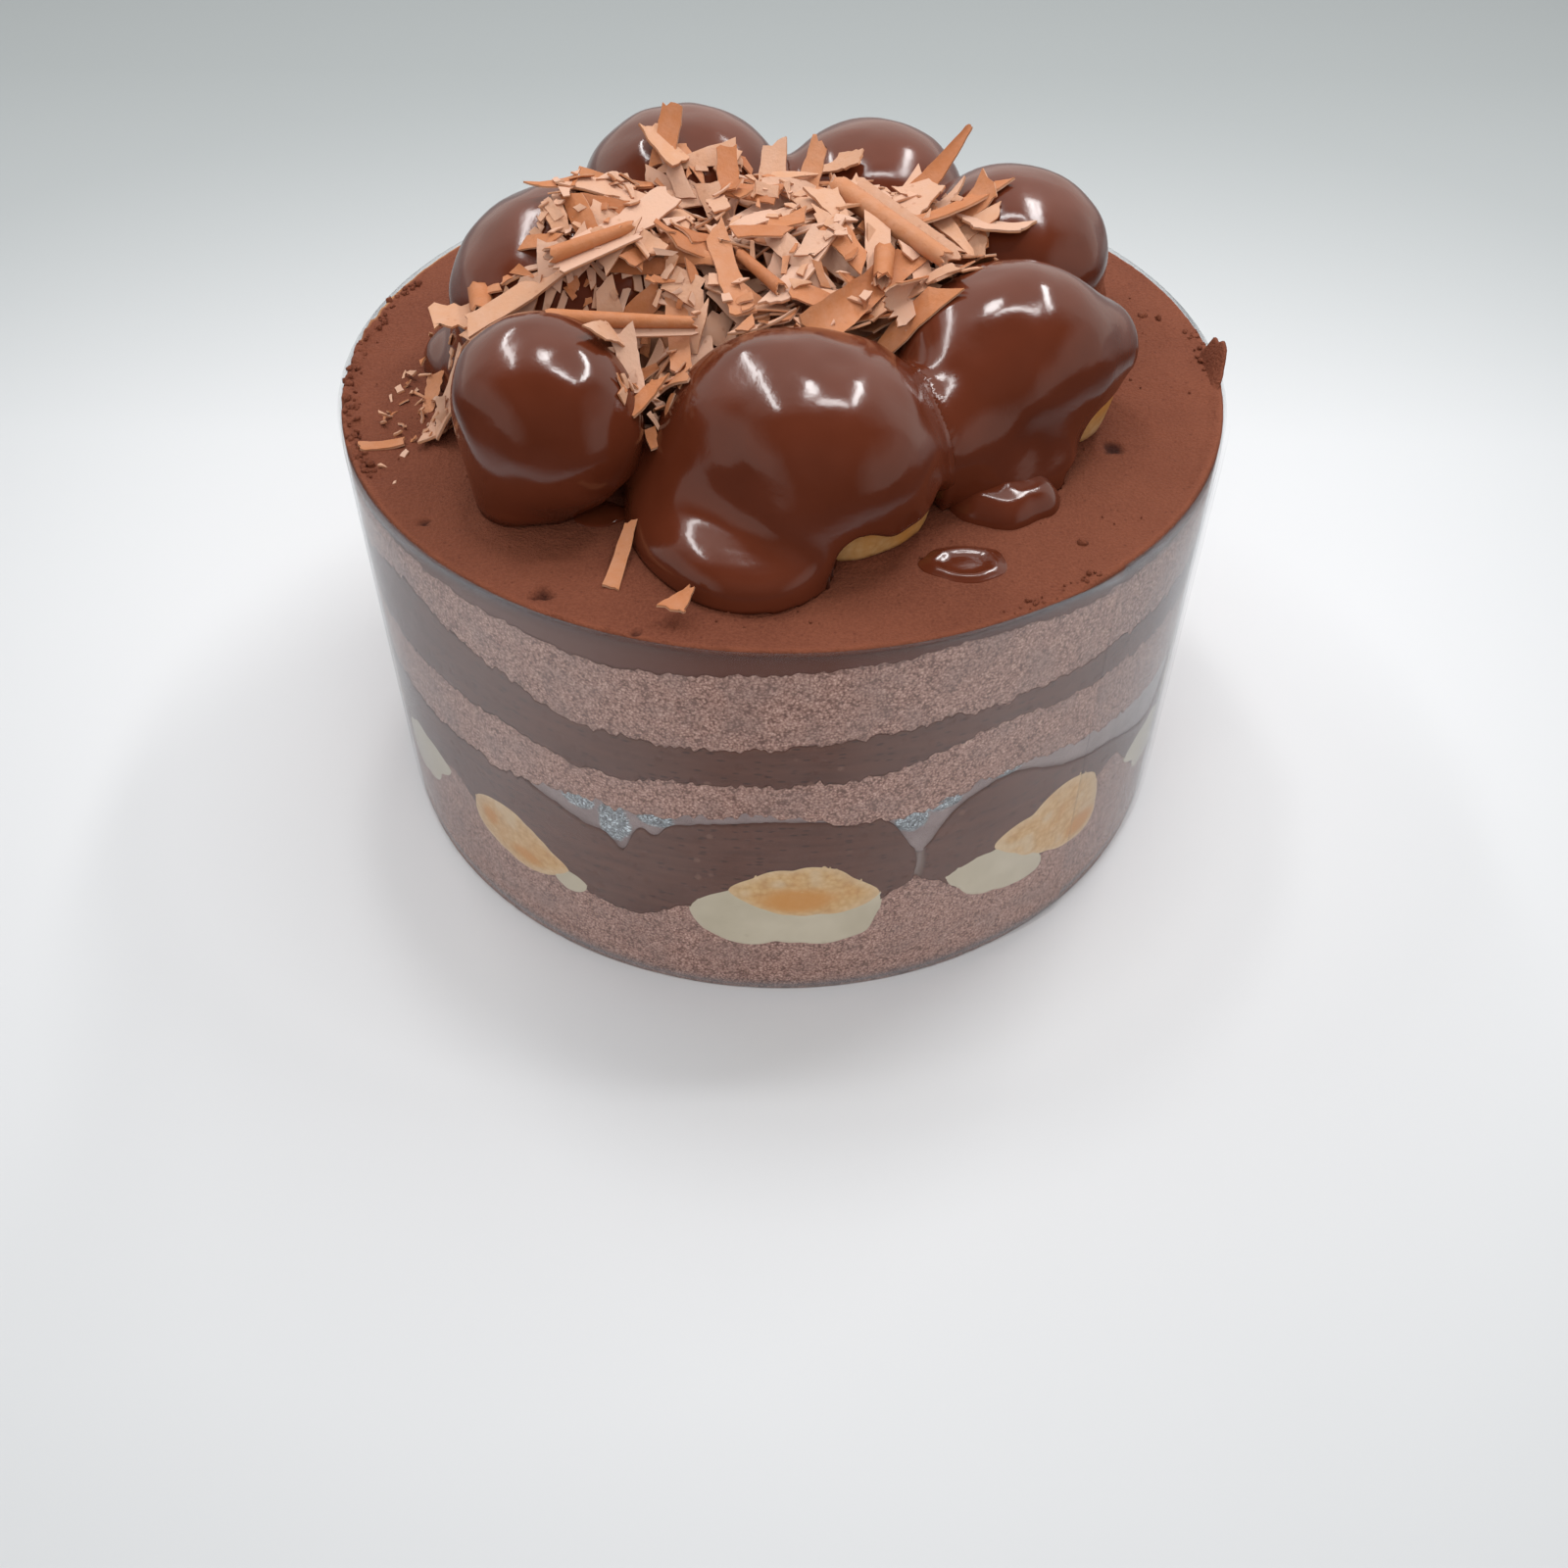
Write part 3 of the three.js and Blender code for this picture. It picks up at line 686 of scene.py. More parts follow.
curves = {name: edgeHeight(name, rimAzimuth) for name in layerEdges}
isOpen = smoothStep(*layerSet["closed"], wrapped(2 * rimAzimuth) / 2)  # 0 where sponge and ganache touch
closedTop = curves["middleFoot"] - layerSet["closedGap"]
curves["lowerTop"] = closedTop + (np.minimum(curves["ganache"], closedTop) - closedTop) * isOpen
curves["cakeFoot"] = np.zeros(cake["columns"])
layerFinish = {"sponge": sponge, "ganache": ganache}
layerPlan = [  # piece, replaced node, lower edge, upper edge, relief, rows, slot
    ("spongeBase", "sponge_base", "cakeFoot", "base", spongeRelief, 30, "sponge"),
    ("ganacheLower", "ganache_lower", "base", "lowerTop", lowerGanacheRelief, 36, "ganache"),
    ("spongeMiddle", "sponge_middle", "middleFoot", "middleTop", spongeRelief, 26, "sponge"),
    ("ganacheMiddle", "ganache_middle", "middleTop", "topFoot", ganacheRelief, 20, "ganache"),
    ("spongeTop", "sponge_top", "topFoot", "topTop", spongeRelief, 34, "sponge"),
]
for name, node, lower, upper, relief, rows, slot in layerPlan:
    rings = layerSkin(curves[lower], curves[upper], relief, rows)
    marks = {}
    if slot == "ganache":
        azimuth = np.degrees(np.arctan2(rings[..., 0], -rings[..., 1]))
        marks["wet"] = ringMarks(slitShare(azimuth, rings[..., 2]) * (name == "ganacheLower"))
    makePiece(name, closedSkin(rings), layerFinish[slot], [node], marks)
print("layers made")

# The hollow between the lower ganache and the middle sponge, lined with wet crinkled film

pocketSet = {
    "radius": 79.05, "rows": 20, "overlap": 0.7, "back": 1.2, "swell": 0.35, "glintFrom": (0.1, 0.45),
    "crinkle": 0.1, "crinkleScale": 2.6, "crinkleSeed": 91,
    "ruffle": 0.12, "ruffleScale": 1.5, "ruffleSeed": 92,
    "bubbles": [  # azimuth, height and half sizes of the crinkled bubbles
        (-25.9, 42.7, 3.3, 2.2), (-21.1, 40.0, 3.1, 5), (-15.4, 43.5, 3.6, 2.3), (16.3, 42.9, 3.1, 2.8),
        (20.2, 46.1, 3.7, 2.5), (28.7, 48.3, 3.7, 1.3)],
}


def pocketSkin():
    # a band round the cake from the ganache's edge to the sponge's foot and a bit past, swollen by bubbles
    share = np.linspace(0, 1, pocketSet["rows"])[:, None]
    low = curves["lowerTop"] - pocketSet["overlap"]
    high = curves["middleFoot"] + pocketSet["overlap"]
    height = low + (high - low) * share
    azimuth = np.broadcast_to(rimAzimuth, height.shape)
    spots = onRing(pocketSet["radius"], azimuth, height)
    ruffle = pocketSet["ruffle"] * softNoise(spots, pocketSet["ruffleScale"], pocketSet["ruffleSeed"])
    bubble = np.zeros(height.shape)
    for at, up, halfAcross, halfUp in pocketSet["bubbles"]:
        across = np.radians(wrapped(2 * (azimuth - at)) / 2) * pocketSet["radius"]
        away = np.hypot(across / halfAcross, (height - up) / halfUp) + ruffle
        bubble = np.maximum(bubble, np.sqrt(np.clip(1 - away ** 2, 0, 1)))
    relief = pocketSet["crinkle"] * layeredNoise(spots, pocketSet["crinkleScale"], pocketSet["crinkleSeed"])
    relief = relief + pocketSet["swell"] * bubble
    front = onRing(pocketSet["radius"] + relief, azimuth, height)
    back = onRing(pocketSet["radius"] - pocketSet["back"], azimuth[::-1], height[::-1])
    rings = np.concatenate([front, back])
    rows, columns = rings.shape[:2]
    here = np.arange(columns)
    beside = (here + 1) % columns
    last = (rows - 1) * columns
    seam = np.stack([last + here, last + beside, beside, here], -1)
    # the mark where the lining gets its painted glints: the middle of each bubble
    glintShare = smoothStep(*pocketSet["glintFrom"], bubble)
    marks = {"glintShare": np.concatenate([glintShare, 0 * glintShare]).ravel()}
    return (rings.reshape(-1, 3), [gridQuads(rows, columns, True), seam]), marks


skin, marks = pocketSkin()
makePiece("pocketLining", skin, pocket, marks=marks)
print("pocket made")


# Buns and cream set against the film

bunFaces = {  # outlines as (across, up) from a face's middle, and baked spots (across, up, half sizes)
    "front": ([(-14.2, -0.3), (-9.1, 3.4), (-1.8, 5.8), (4.2, 6.3), (6.7, 5.5), (9.3, 2.7), (13.2, -0.5),
               (15.2, -1.5), (13.4, -4.4), (9.7, -6.1), (3.3, -6.6), (-1.7, -6.8), (-6.7, -5.3),
               (-10.5, -3.2)],
              [(-1, -2.4, 7.9, 3.4)]),
    "left": ([(-11.3, 4), (-9.6, 5.2), (-5, 6.7), (-1.9, 6.9), (2.5, 5.1), (5.5, 3.2), (8.4, 0.5),
              (12.7, -2.4), (8.1, -5.7), (4, -7.6), (0.4, -8), (-3.7, -6.9), (-7.4, -5.7), (-11.1, -3.3),
              (-12, -0.7)],
             [(-6.9, 0.9, 2.4, 2.6), (1.7, -3.9, 4.2, 2)]),
    "right": ([(-14.4, 3), (-5.1, 6.6), (-1.1, 9.8), (2.9, 10.8), (7.6, 9.7), (11.9, 7.2), (13, 4.2),
               (14.2, -1.8), (14.2, -7.2), (12.1, -9.4), (7.8, -9.1), (1.2, -7), (-3.3, -5), (-8.3, -1.9),
               (-12.4, 1.2)],
              [(9.5, -5, 4.5, 3)]),
}
creamFaces = {
    "front": [(-18.1, 1.2), (-16.1, 3.7), (-11, 6.7), (0, 8), (12, 7.5), (18.1, 5.6), (18.5, 3.5),
              (16.9, -2.5), (15.8, -6.3), (13.1, -6.7), (3.5, -7.5), (-1.6, -6.9), (-13.2, -6.1),
              (-15.8, -4.2), (-17.3, -1)],
    "left": [(-2.3, -0.8), (-1, 1.6), (2.3, 2.5), (5.1, 0.4), (1.7, -2.8), (-1, -2)],
    "right": [(-10.9, 2.9), (-6.2, 5), (-1.1, 5.8), (6, 4.5), (11, -1), (12.4, -3.7), (12.5, -6.5),
              (10.2, -7.3), (5.5, -7.3), (0.9, -6.1), (-3.1, -5.4), (-7.2, -1.4)],
    "rightEdge": [(-13.9, 3.9), (-10.4, 5.5), (-3.7, 5.7), (3.9, 3.7), (9, -1), (8, -8), (0, -7), (-8, -1)],
}
creamFaces["leftEdge"] = [(-across, up) for across, up in creamFaces["rightEdge"]]
setBuns = [  # face of the bun, its azimuth and height, face of its cream, azimuth and height
    ("front", (2.8, 28), "front", (0.5, 21)),
    ("right", (38, 26.5), "right", (29, 22.6)),
    ("left", (80, 27), "rightEdge", (64, 24)),
    ("front", (119, 26.5), "front", (116, 20)),
    ("right", (159, 27), "right", (151, 22)),
    ("front", (200, 27), "front", (197, 20.5)),
    ("right", (240, 27.5), "right", (232, 22)),
    ("left", (281, 26), "leftEdge", (300, 24)),
    ("left", (323, 24.3), "left", (330.5, 19.2)),
]
filmFace = {"columns": 96, "front": (0.03, 1, 26), "back": (0.06, 0.96, 10), "bunRadius": 79.54,
            "creamRadius": 79.5, "bunDepth": 32.0, "creamDepth": 25.0, "sink": 0.6, "rounding": 30,
            "grow": 1.02, "soften": 2}
bunTone = {"blotScale": 3.0, "blotSeed": 310, "blotFrom": (0.1, 0.8), "brownBlot": 0.3, "paleBlot": 0.5,
           "spotFrom": (1.3, 0.45), "spotRuffle": 0.2, "brownSpot": 0.9, "rimFrom": (0.65, 1.0),
           "paleRim": 0.45}


def outlineReach(outline, around):
    # an outline's distance from its middle in each direction: straight runs in angle, softened by averaging
    corners = np.array(outline)
    angle = np.degrees(np.arctan2(corners[:, 1], corners[:, 0]))
    reach = np.interp(np.degrees(around), angle, np.hypot(corners[:, 0], corners[:, 1]), period=360)
    for softening in range(filmFace["soften"]):
        reach = (np.roll(reach, 1) + 2 * reach + np.roll(reach, -1)) / 4
    return reach * filmFace["grow"]


def filmFaceSkin(outline, at, height, radius, depth):
    # a face on the film from its middle out to its outline, then a half ellipsoid back into the cake
    around = np.linspace(0, 2 * np.pi, filmFace["columns"], endpoint=False)
    reach = outlineReach(outline, around)
    front = np.linspace(*filmFace["front"])[:, None]
    back = np.linspace(*filmFace["back"])[:, None] * np.pi / 2
    share = np.concatenate([front, np.cos(back)])
    inset = np.concatenate([filmFace["sink"] * front ** filmFace["rounding"],
                            filmFace["sink"] + depth * np.sin(back)])
    across = share * reach * np.cos(around)
    rise = share * reach * np.sin(around)
    rings = onRing(radius - inset + 0 * across, at + np.degrees(across / radius), height + rise)
    return rings, share + 0 * across, across, rise


def bunMarks(index, spots, rings, share, across, rise):
    # brown in the baked spots and where the noise is high, pale towards the outline and where it is low
    blot = softNoise(rings, bunTone["blotScale"], bunTone["blotSeed"] + index)
    brown = bunTone["brownBlot"] * smoothStep(*bunTone["blotFrom"], blot)
    for spotX, spotY, halfX, halfY in spots:
        away = np.hypot((across - spotX) / halfX, (rise - spotY) / halfY) + bunTone["spotRuffle"] * blot
        brown = np.maximum(brown, bunTone["brownSpot"] * smoothStep(*bunTone["spotFrom"], away))
    pale = bunTone["paleBlot"] * smoothStep(*bunTone["blotFrom"], -blot)
    pale = np.maximum(pale, bunTone["paleRim"] * smoothStep(*bunTone["rimFrom"], share)) * (1 - brown)
    return {"brown": ringMarks(brown), "pale": ringMarks(pale)}


for index, (face, bun, creamFace, spoon) in enumerate(setBuns):
    number = index + 1
    outline, spots = bunFaces[face]
    rings, *places = filmFaceSkin(outline, *bun, filmFace["bunRadius"], filmFace["bunDepth"])
    marks = bunMarks(index, spots, rings, *places)
    makePiece(f"setBun{number}", closedSkin(rings), choux, [f"set_bun_{number}"], marks)
    rings = filmFaceSkin(creamFaces[creamFace], *spoon, filmFace["creamRadius"], filmFace["creamDepth"])[0]
    makePiece(f"cream{number}", closedSkin(rings), cream, [f"cream_{number}"])
print("set buns made")


# Mousse top

topSet = {
    "columns": 700, "rows": 104, "inside": 1.0, "sideRows": 10, "lip": 0.7, "lipFrom": 0.15, "lipRows": 6,
    "lowFace": [(3.0, 0.04), (45.0, 0.57)],  # radius of each ring and its share of the edge's swells
    "swell": (0.22, 24, 201), "grains": [(0.12, 7, 205), (0.08, 1.7, 206)],  # noises: strength, scale, seed
    "bead": (0.15, 78.6, 0.7),  # rise, radius and half width
    "roughRims": [(-88, 16, 1.1), (-70, 10, 0.6), (35, 3, 0.7), (90, 10, 0.5)],  # azimuth, half width, rise
    "rough": [(1, 2.0, 207), (0.6, 1.0, 208)], "roughFrom": (74, 78),
    "fold": {"rises": (58, 66), "falls": (92, 86), "across": (77.0, 78.0), "rise": 0.5},
    "dents": [(-37, -66, 2.6, 1.6, 1), (-58, -48, 1.0, 0.7, 0), (-22, -75.2, 0.9, 0.7, 0),
              (-26.5, -75, 0.8, 0.6, 0), (57, -26, 2.2, 0.6, 0),
              (29, -58, 6.4, 0.5, 0)],  # x, y, size, depth, 1 for a three-cornered one
    "corners": (-1.571, 0.524, 2.618), "cornerSize": 1.9,  # turns of a triangle's sides
    "dentRuffle": 0.3, "dentScale": 0.7, "dentSeed": 209, "dentFloor": 0.5, "shadedDentDepth": 0.55,
    "topFrom": (-0.9, -0.3), "rim": (79.0, 0.45), "rimNoise": (0.6, 0.4, 3, 210), "bandFrom": (0.5, 1.1),
    "smear": {"rises": (-155, -140), "falls": (-92, -104), "across": (78.5, 79)},
}


def dentAway(across, along, hasCorners):
    # distance from a dent's middle, or from the middle of a triangle across its sides
    if not hasCorners:
        return np.hypot(across, along)
    sides = [across * math.cos(turn) + along * math.sin(turn) for turn in topSet["corners"]]
    return np.maximum.reduce(sides) * topSet["cornerSize"]


def arcShare(arc, turned, rowRadius):
    # 1 along an arc near the rim, rising and falling at its ends and across its inner edge
    along = smoothStep(*arc["rises"], turned) * smoothStep(*arc["falls"], turned)
    return along * smoothStep(*arc["across"], rowRadius)


def topRings():
    # radius and height of the rings: lower face, side, rounded lip and flat top
    azimuth = np.linspace(-180, 180, topSet["columns"], endpoint=False)
    edge = np.interp(azimuth, rimAzimuth, curves["topTop"], period=360)
    radius = cake["sideRadius"]
    level = cake["topLevel"]
    lip = topSet["lip"]
    lowRadius, lowShare = np.array(topSet["lowFace"]).T[:, :, None]
    share = np.linspace(0, 1, topSet["sideRows"])[:, None]
    lipTurn = np.linspace(topSet["lipFrom"], 1, topSet["lipRows"])[:, None] * np.pi / 2
    topRadius = np.linspace(radius - topSet["inside"], topSet["inside"], topSet["rows"])[:, None]
    lowHeight = edge.mean() + (edge - edge.mean()) * lowShare
    sideHeight = edge + (level - lip - edge) * share
    lipRadius = radius - lip + lip * np.cos(lipTurn)
    lipHeight = level - lip + lip * np.sin(lipTurn) + 0 * edge
    rowRadius = np.concatenate([lowRadius, radius + 0 * share, lipRadius, topRadius])
    height = np.concatenate([lowHeight, sideHeight, lipHeight, level + 0 * topRadius + 0 * edge])
    return np.broadcast_to(rowRadius, height.shape), np.broadcast_to(azimuth, height.shape), height


def topSkin():
    # the top of the cake: its rings, with noise, a bead along the rim, rough stretches, a fold and dents
    rowRadius, turned, height = topRings()
    level = cake["topLevel"]
    spots = onRing(rowRadius, turned, height)
    onTop = smoothStep(*topSet["topFrom"], height - level)
    flat = spots * np.array([1, 1, 0])
    strength, scale, seed = topSet["swell"]
    relief = strength * layeredNoise(flat, scale, seed)
    for strength, scale, seed in topSet["grains"]:
        relief = relief + strength * softNoise(flat, scale, seed)
    rise, at, width = topSet["bead"]
    relief = relief + rise * np.exp(-((rowRadius - at) / width) ** 2)
    rough = sum(strength * softNoise(spots, scale, seed) for strength, scale, seed in topSet["rough"])
    for at, width, rise in topSet["roughRims"]:
        near = np.exp(-(wrapped(turned - at) / width) ** 2) * smoothStep(*topSet["roughFrom"], rowRadius)
        relief = relief + rise * near * rough
    relief = relief + topSet["fold"]["rise"] * arcShare(topSet["fold"], turned, rowRadius)
    dentShade = np.zeros(height.shape)
    for x, y, size, depth, hasCorners in topSet["dents"]:
        away = dentAway(spots[..., 0] - x, spots[..., 1] - y, hasCorners)
        ruffle = softNoise(flat, size * topSet["dentScale"], topSet["dentSeed"])
        away = away + topSet["dentRuffle"] * size * ruffle
        sunk = smoothStep(size, size * topSet["dentFloor"], away)
        relief = relief - depth * sunk
        # painted shade: the deeper dents are marked to be coloured dark
        dentShade = np.maximum(dentShade, sunk * (depth > topSet["shadedDentDepth"]))
    # painted highlight: a paler line along the rim, where the mousse meets the film
    at, width = topSet["rim"]
    plain, varied, scale, seed = topSet["rimNoise"]
    rim = np.exp(-((rowRadius - at) / width) ** 2) * onTop * (plain + varied * softNoise(flat, scale, seed))
    rings = spots + (relief * onTop)[..., None] * np.array([0, 0, 1])
    marks = {"dentShade": dentShade * onTop, "rim": rim, "band": smoothStep(*topSet["bandFrom"], level - height),
             "smear": arcShare(topSet["smear"], turned, rowRadius) * onTop}
    return closedSkin(rings), {mark: ringMarks(values) for mark, values in marks.items()}


skin, marks = topSkin()
makePiece("mousseTop", skin, mousse, ["mousse_top"], marks)

# The torn flap of mousse on the right rim, crumbs along the rim, and two puddles and a thick drop of glaze


def plainMarks(skin):
    # marks of mousse with no painted dent shade, no painted rim highlight, no band and no smear
    return {mark: np.zeros(len(skin[0])) for mark in ("dentShade", "rim", "band", "smear")}


flapSet = {"from": 82.5, "to": 94, "radius": 78.3, "tall": 4.6, "least": 0.2, "thick": 1.1, "thin": 0.6,
           "lean": 0.18, "bow": 0.9, "rises": (0, 0.55), "falls": (1.0, 0.86), "torn": 0.25, "tornStep": 9,
           "tornSeed": 221, "sunk": 0.3, "rows": 14, "columns": 26}


def flapSkin():
    # a standing sheet along the rim: its height rises slowly and falls steeply, and noise tears its edge
    along = np.linspace(0, 1, flapSet["columns"])[None, :]
    up = np.linspace(0, 1, flapSet["rows"])[:, None]
    azimuth = flapSet["from"] + (flapSet["to"] - flapSet["from"]) * along + 0 * up
    outline = smoothStep(*flapSet["rises"], along) * smoothStep(*flapSet["falls"], along)
    steps = np.stack([along * flapSet["tornStep"], 0 * along, 0 * along], -1)
    torn = 1 + flapSet["torn"] * softNoise(steps, 1.0, flapSet["tornSeed"])
    height = up * (flapSet["tall"] * outline * torn + flapSet["least"])
    outer = flapSet["radius"] + flapSet["lean"] * height + flapSet["bow"] * np.sin(along * np.pi) * up ** 2
    inner = outer - flapSet["thick"] * (1 - flapSet["thin"] * up)
    base = cake["topLevel"] - flapSet["sunk"]
    return thickSheet(onRing(outer, azimuth, base + height), onRing(inner, azimuth, base + height))


skin = flapSkin()
makePiece("mousseFlap", skin, mousse, ["mousse_top"], plainMarks(skin))

crumbSet = {
    "seed": 31, "columns": 7, "rings": 4, "pole": 0.35, "rise": 0.15,
    "stretch": (0.6, 1.2), "dented": (-0.25, 0.25),
    "places": [  # azimuth span, radius span, count, size span
        (-112, -62, 76.6, 79.0, 130, 0.25, 0.8), (26, 40, 77, 79.0, 22, 0.2, 0.55),
        (84, 100, 76.5, 79, 30, 0.2, 0.6), (-180, 180, 40, 79, 110, 0.12, 0.35),
        (42, 47, 69, 72, 1, 0.9, 1.0), (101, 105, 71, 74, 2, 0.8, 1.0)],
}


def crumbCloud():
    # small lumps on the top: one rounded form copied to random places, stretched and dented, as one array
    random = np.random.default_rng(crumbSet["seed"])
    polar = np.linspace(crumbSet["pole"], np.pi - crumbSet["pole"], crumbSet["rings"])[::-1, None]
    around = np.linspace(0, 2 * np.pi, crumbSet["columns"], endpoint=False)[None, :]
    form = np.stack([np.sin(polar) * np.cos(around), np.sin(polar) * np.sin(around),
                     np.cos(polar) + 0 * around], -1)
    points, faces = closedSkin(form)
    lumps = []
    for start, end, inner, outer, count, small, large in crumbSet["places"]:
        radius = random.uniform(inner, outer, count)
        middle = onRing(radius, random.uniform(start, end, count), cake["topLevel"] + crumbSet["rise"])
        size = random.uniform(small, large, count)[:, None]
        size = size * random.uniform(*crumbSet["stretch"], (count, 3))
        dented = 1 + random.uniform(*crumbSet["dented"], (count, len(points), 1))
        lumps.append(points[None] * dented * size[:, None] + middle[:, None])
    cloud = np.concatenate(lumps)
    shift = len(points) * np.arange(len(cloud))[:, None, None]
    return cloud.reshape(-1, 3), [(part[None] + shift).reshape(-1, part.shape[1]) for part in faces]


skin = crumbCloud()
makePiece("mousseCrumbs", skin, mousse, ["mousse_top"], plainMarks(skin))

puddles = [  # name, replaced node, middle, half sizes, height of the ring, height of the middle, seed
    ("ringPuddle", "mousse_top", (29, -58), (6.9, 4.7), 0.95, 0.25, 231),
    ("gapPuddle", "mousse_top", (-29.5, -45.5), (4.6, 3.4), 0.7, 0.75, 232),
    ("thickDrop", "glaze_2", (36.2, -41.2), (9, 8.4), 5.7, 4.9, 233),
]
puddleSet = {"edge": [1.0, 0.985], "inner": (0.95, 0.04, 22), "columns": 72, "reach": 0.16,
             "reachScale": 1.2, "ringAt": 0.74, "ringWidth": 0.2, "ripple": 0.06, "rippleScale": 2.6,
             "foot": 0.8, "sunk": 0.05}


def puddleSkin(middle, half, ring, inside, seed):
    # a thin drop: from the edge up to a low ring, then down to the middle; noise draws the edge in and out
    share = np.concatenate([puddleSet["edge"], np.linspace(*puddleSet["inner"])])[:, None]
    around = np.linspace(0, 2 * np.pi, puddleSet["columns"], endpoint=False)[None, :]
    circle = np.stack([np.cos(around), np.sin(around), 0 * around], -1)
    reach = 1 + puddleSet["reach"] * layeredNoise(circle * puddleSet["reachScale"], 1.0, seed, 2)
    x = middle[0] + half[0] * share * reach * np.cos(around)
    y = middle[1] + half[1] * share * reach * np.sin(around)
    edge = np.sqrt(np.clip(1 - share ** 2, 0, 1))
    onRidge = np.exp(-((share - puddleSet["ringAt"]) / puddleSet["ringWidth"]) ** 2)
    ripple = puddleSet["ripple"] * softNoise(np.stack([x, y, 0 * x], -1), puddleSet["rippleScale"], seed + 5)
    height = edge * (inside + (ring - inside) * onRidge) * (1 + ripple)
    low = np.stack([x[:1], y[:1], 0 * x[:1] + cake["topLevel"] - puddleSet["foot"]], -1)
    face = np.stack([x, y, cake["topLevel"] + height - puddleSet["sunk"]], -1)
    return closedSkin(np.concatenate([low, face]))


for name, node, middle, half, ring, inside, seed in puddles:
    makePiece(name, puddleSkin(middle, half, ring, inside, seed), glaze, [node])
print("mousse made")


# Profiteroles

# Sizes over the cake's top. equator is the widest ring's height as a share of the bun's, footShare the
# radius at the foot as a share of the widest, square the power of the dome's curve (2 is an ellipse). bare
# is the arc where the choux shows: middle, half span, height of the glaze's edge as a share of the bun's,
# and the share of the span at which that height is full. Bumps are balls in the glaze (azimuth from the
# bun, distance out, height, radius) and feet are mounds (azimuth, distance out, radius, height, power).
# ridge is a rounded rod in the glaze: azimuth, distance out and height of both ends, radius. shift moves
# the choux inside its glaze along x and y.
profiteroles = [
    {"at": (7.5, -41), "radius": 19.9, "height": 27.2, "equator": 0.26, "footShare": 0.95, "square": 2,
     "bare": (50, 50, 0.25, 0.75), "footBlend": 6, "bumpBlend": 9,
     "bumps": [(-97, 11.5, 12.5, 13.8), (-5, 9.5, 12, 12.6)],
     "feet": [(-35, 20.8, 13, 6.8, 3.6), (-62, 19, 15, 7.6, 2), (-94, 19, 14.5, 13, 2),
              (-40, 6, 12, 12, 2)]},
    {"at": (37, -21), "radius": 15.2, "height": 26.4, "equator": 0.46, "footShare": 0.84, "square": 2,
     "bare": (112, 82, 0.43, 0.2), "footBlend": 5, "shift": (7.6, 4.8),
     "ridge": ((-40, 19, 8.6), (88, 5, 15.6), 11),
     "bumps": [(112, 15.5, 12.4, 9.5), (120, 5, 13, 13.5), (-100, 7, 12.5, 12.5), (180, 6, 11.5, 13.5)],
     "feet": [(33, 14, 5, 8, 2), (-4, 13.5, 9, 9, 2), (-30, 13, 9, 8, 2), (170, 13, 9, 8, 2)]},
    {"at": (41.5, 18), "radius": 18.5, "height": 27.5, "equator": 0.42, "footShare": 0.85, "square": 2.1,
     "bare": (60, 36, 0.22, 0.1), "footBlend": 5, "bumps": [],
     "feet": [(105, 13, 8, 8, 2), (150, 12, 8, 7, 2), (-90, 10, 8, 8, 2)]},
    {"at": (17, 39.5), "radius": 18.5, "height": 26.5, "equator": 0.42, "footShare": 0.85, "square": 2.1,
     "bare": (150, 40, 0.27, 0.1), "footBlend": 5, "bumps": [],
     "feet": [(-165, 13, 8, 8, 2), (110, 11, 8, 7, 2), (0, 10, 8, 8, 2)]},
    {"at": (-18.8, 35.2), "radius": 20, "height": 30.9, "equator": 0.42, "footShare": 0.85, "square": 2.1,
     "bare": (-112, 36, 0.26, 0.1), "footBlend": 5, "bumps": [],
     "feet": [(-160, 14, 9, 8, 2), (160, 13, 8, 8, 2), (0, 10, 9, 8, 2)]},
    {"at": (-36.6, -0.8), "radius": 21.8, "height": 32.3, "equator": 0.42, "footShare": 0.85, "square": 2.05,
     "bare": (-140, 34, 0.25, 0.1), "footBlend": 5, "bumps": [],
     "feet": [(-92, 19, 10, 8, 2), (-62, 16, 9, 10, 2), (90, 11, 9, 8, 2)]},
    {"at": (-38.3, -37.6), "radius": 14.6, "height": 29, "equator": 0.5, "footShare": 0.42, "square": 2.3,
     "bare": (75, 40, 0.2, 0.75), "footBlend": 6, "bumps": [(38, 7.5, 14, 10.8)],
     "feet": [(-42, 5.5, 8, 9, 2), (170, 9, 8, 7, 2)]},
]
glazeSet = {
    "coat": 2.1, "bumpBlend": 6.0, "joinBlend": 1.6, "mergedBlend": 6.0, "merged": (3, 4), "overlap": 0.6,
    "grid": (220, 120, 132), "steps": (0.55, 2.1, 32), "halvings": 10, "floor": 83.35,
    "lump": (0.55, 13, 400), "ripple": (0.18, 4.5, 405), "rippleFrom": (0, 5),  # strength, scale, seed
    "lip": 2.4, "edgeWave": (0.2, 9, 410), "edgeRise": (0.3, 5, 411), "bareEnd": 1.1, "bareLeast": 0.4,
    "sunk": 0.8,
}
chouxSet = {"grid": (120, 64, 130), "lump": (0.35, 4.0, 420), "blotScale": 5.0, "blotSeed": 430,
            "brown": (0.35, 0.55), "brownFrom": (-0.1, 0.7), "pale": 0.25, "paleFrom": (0.3, 0.8)}


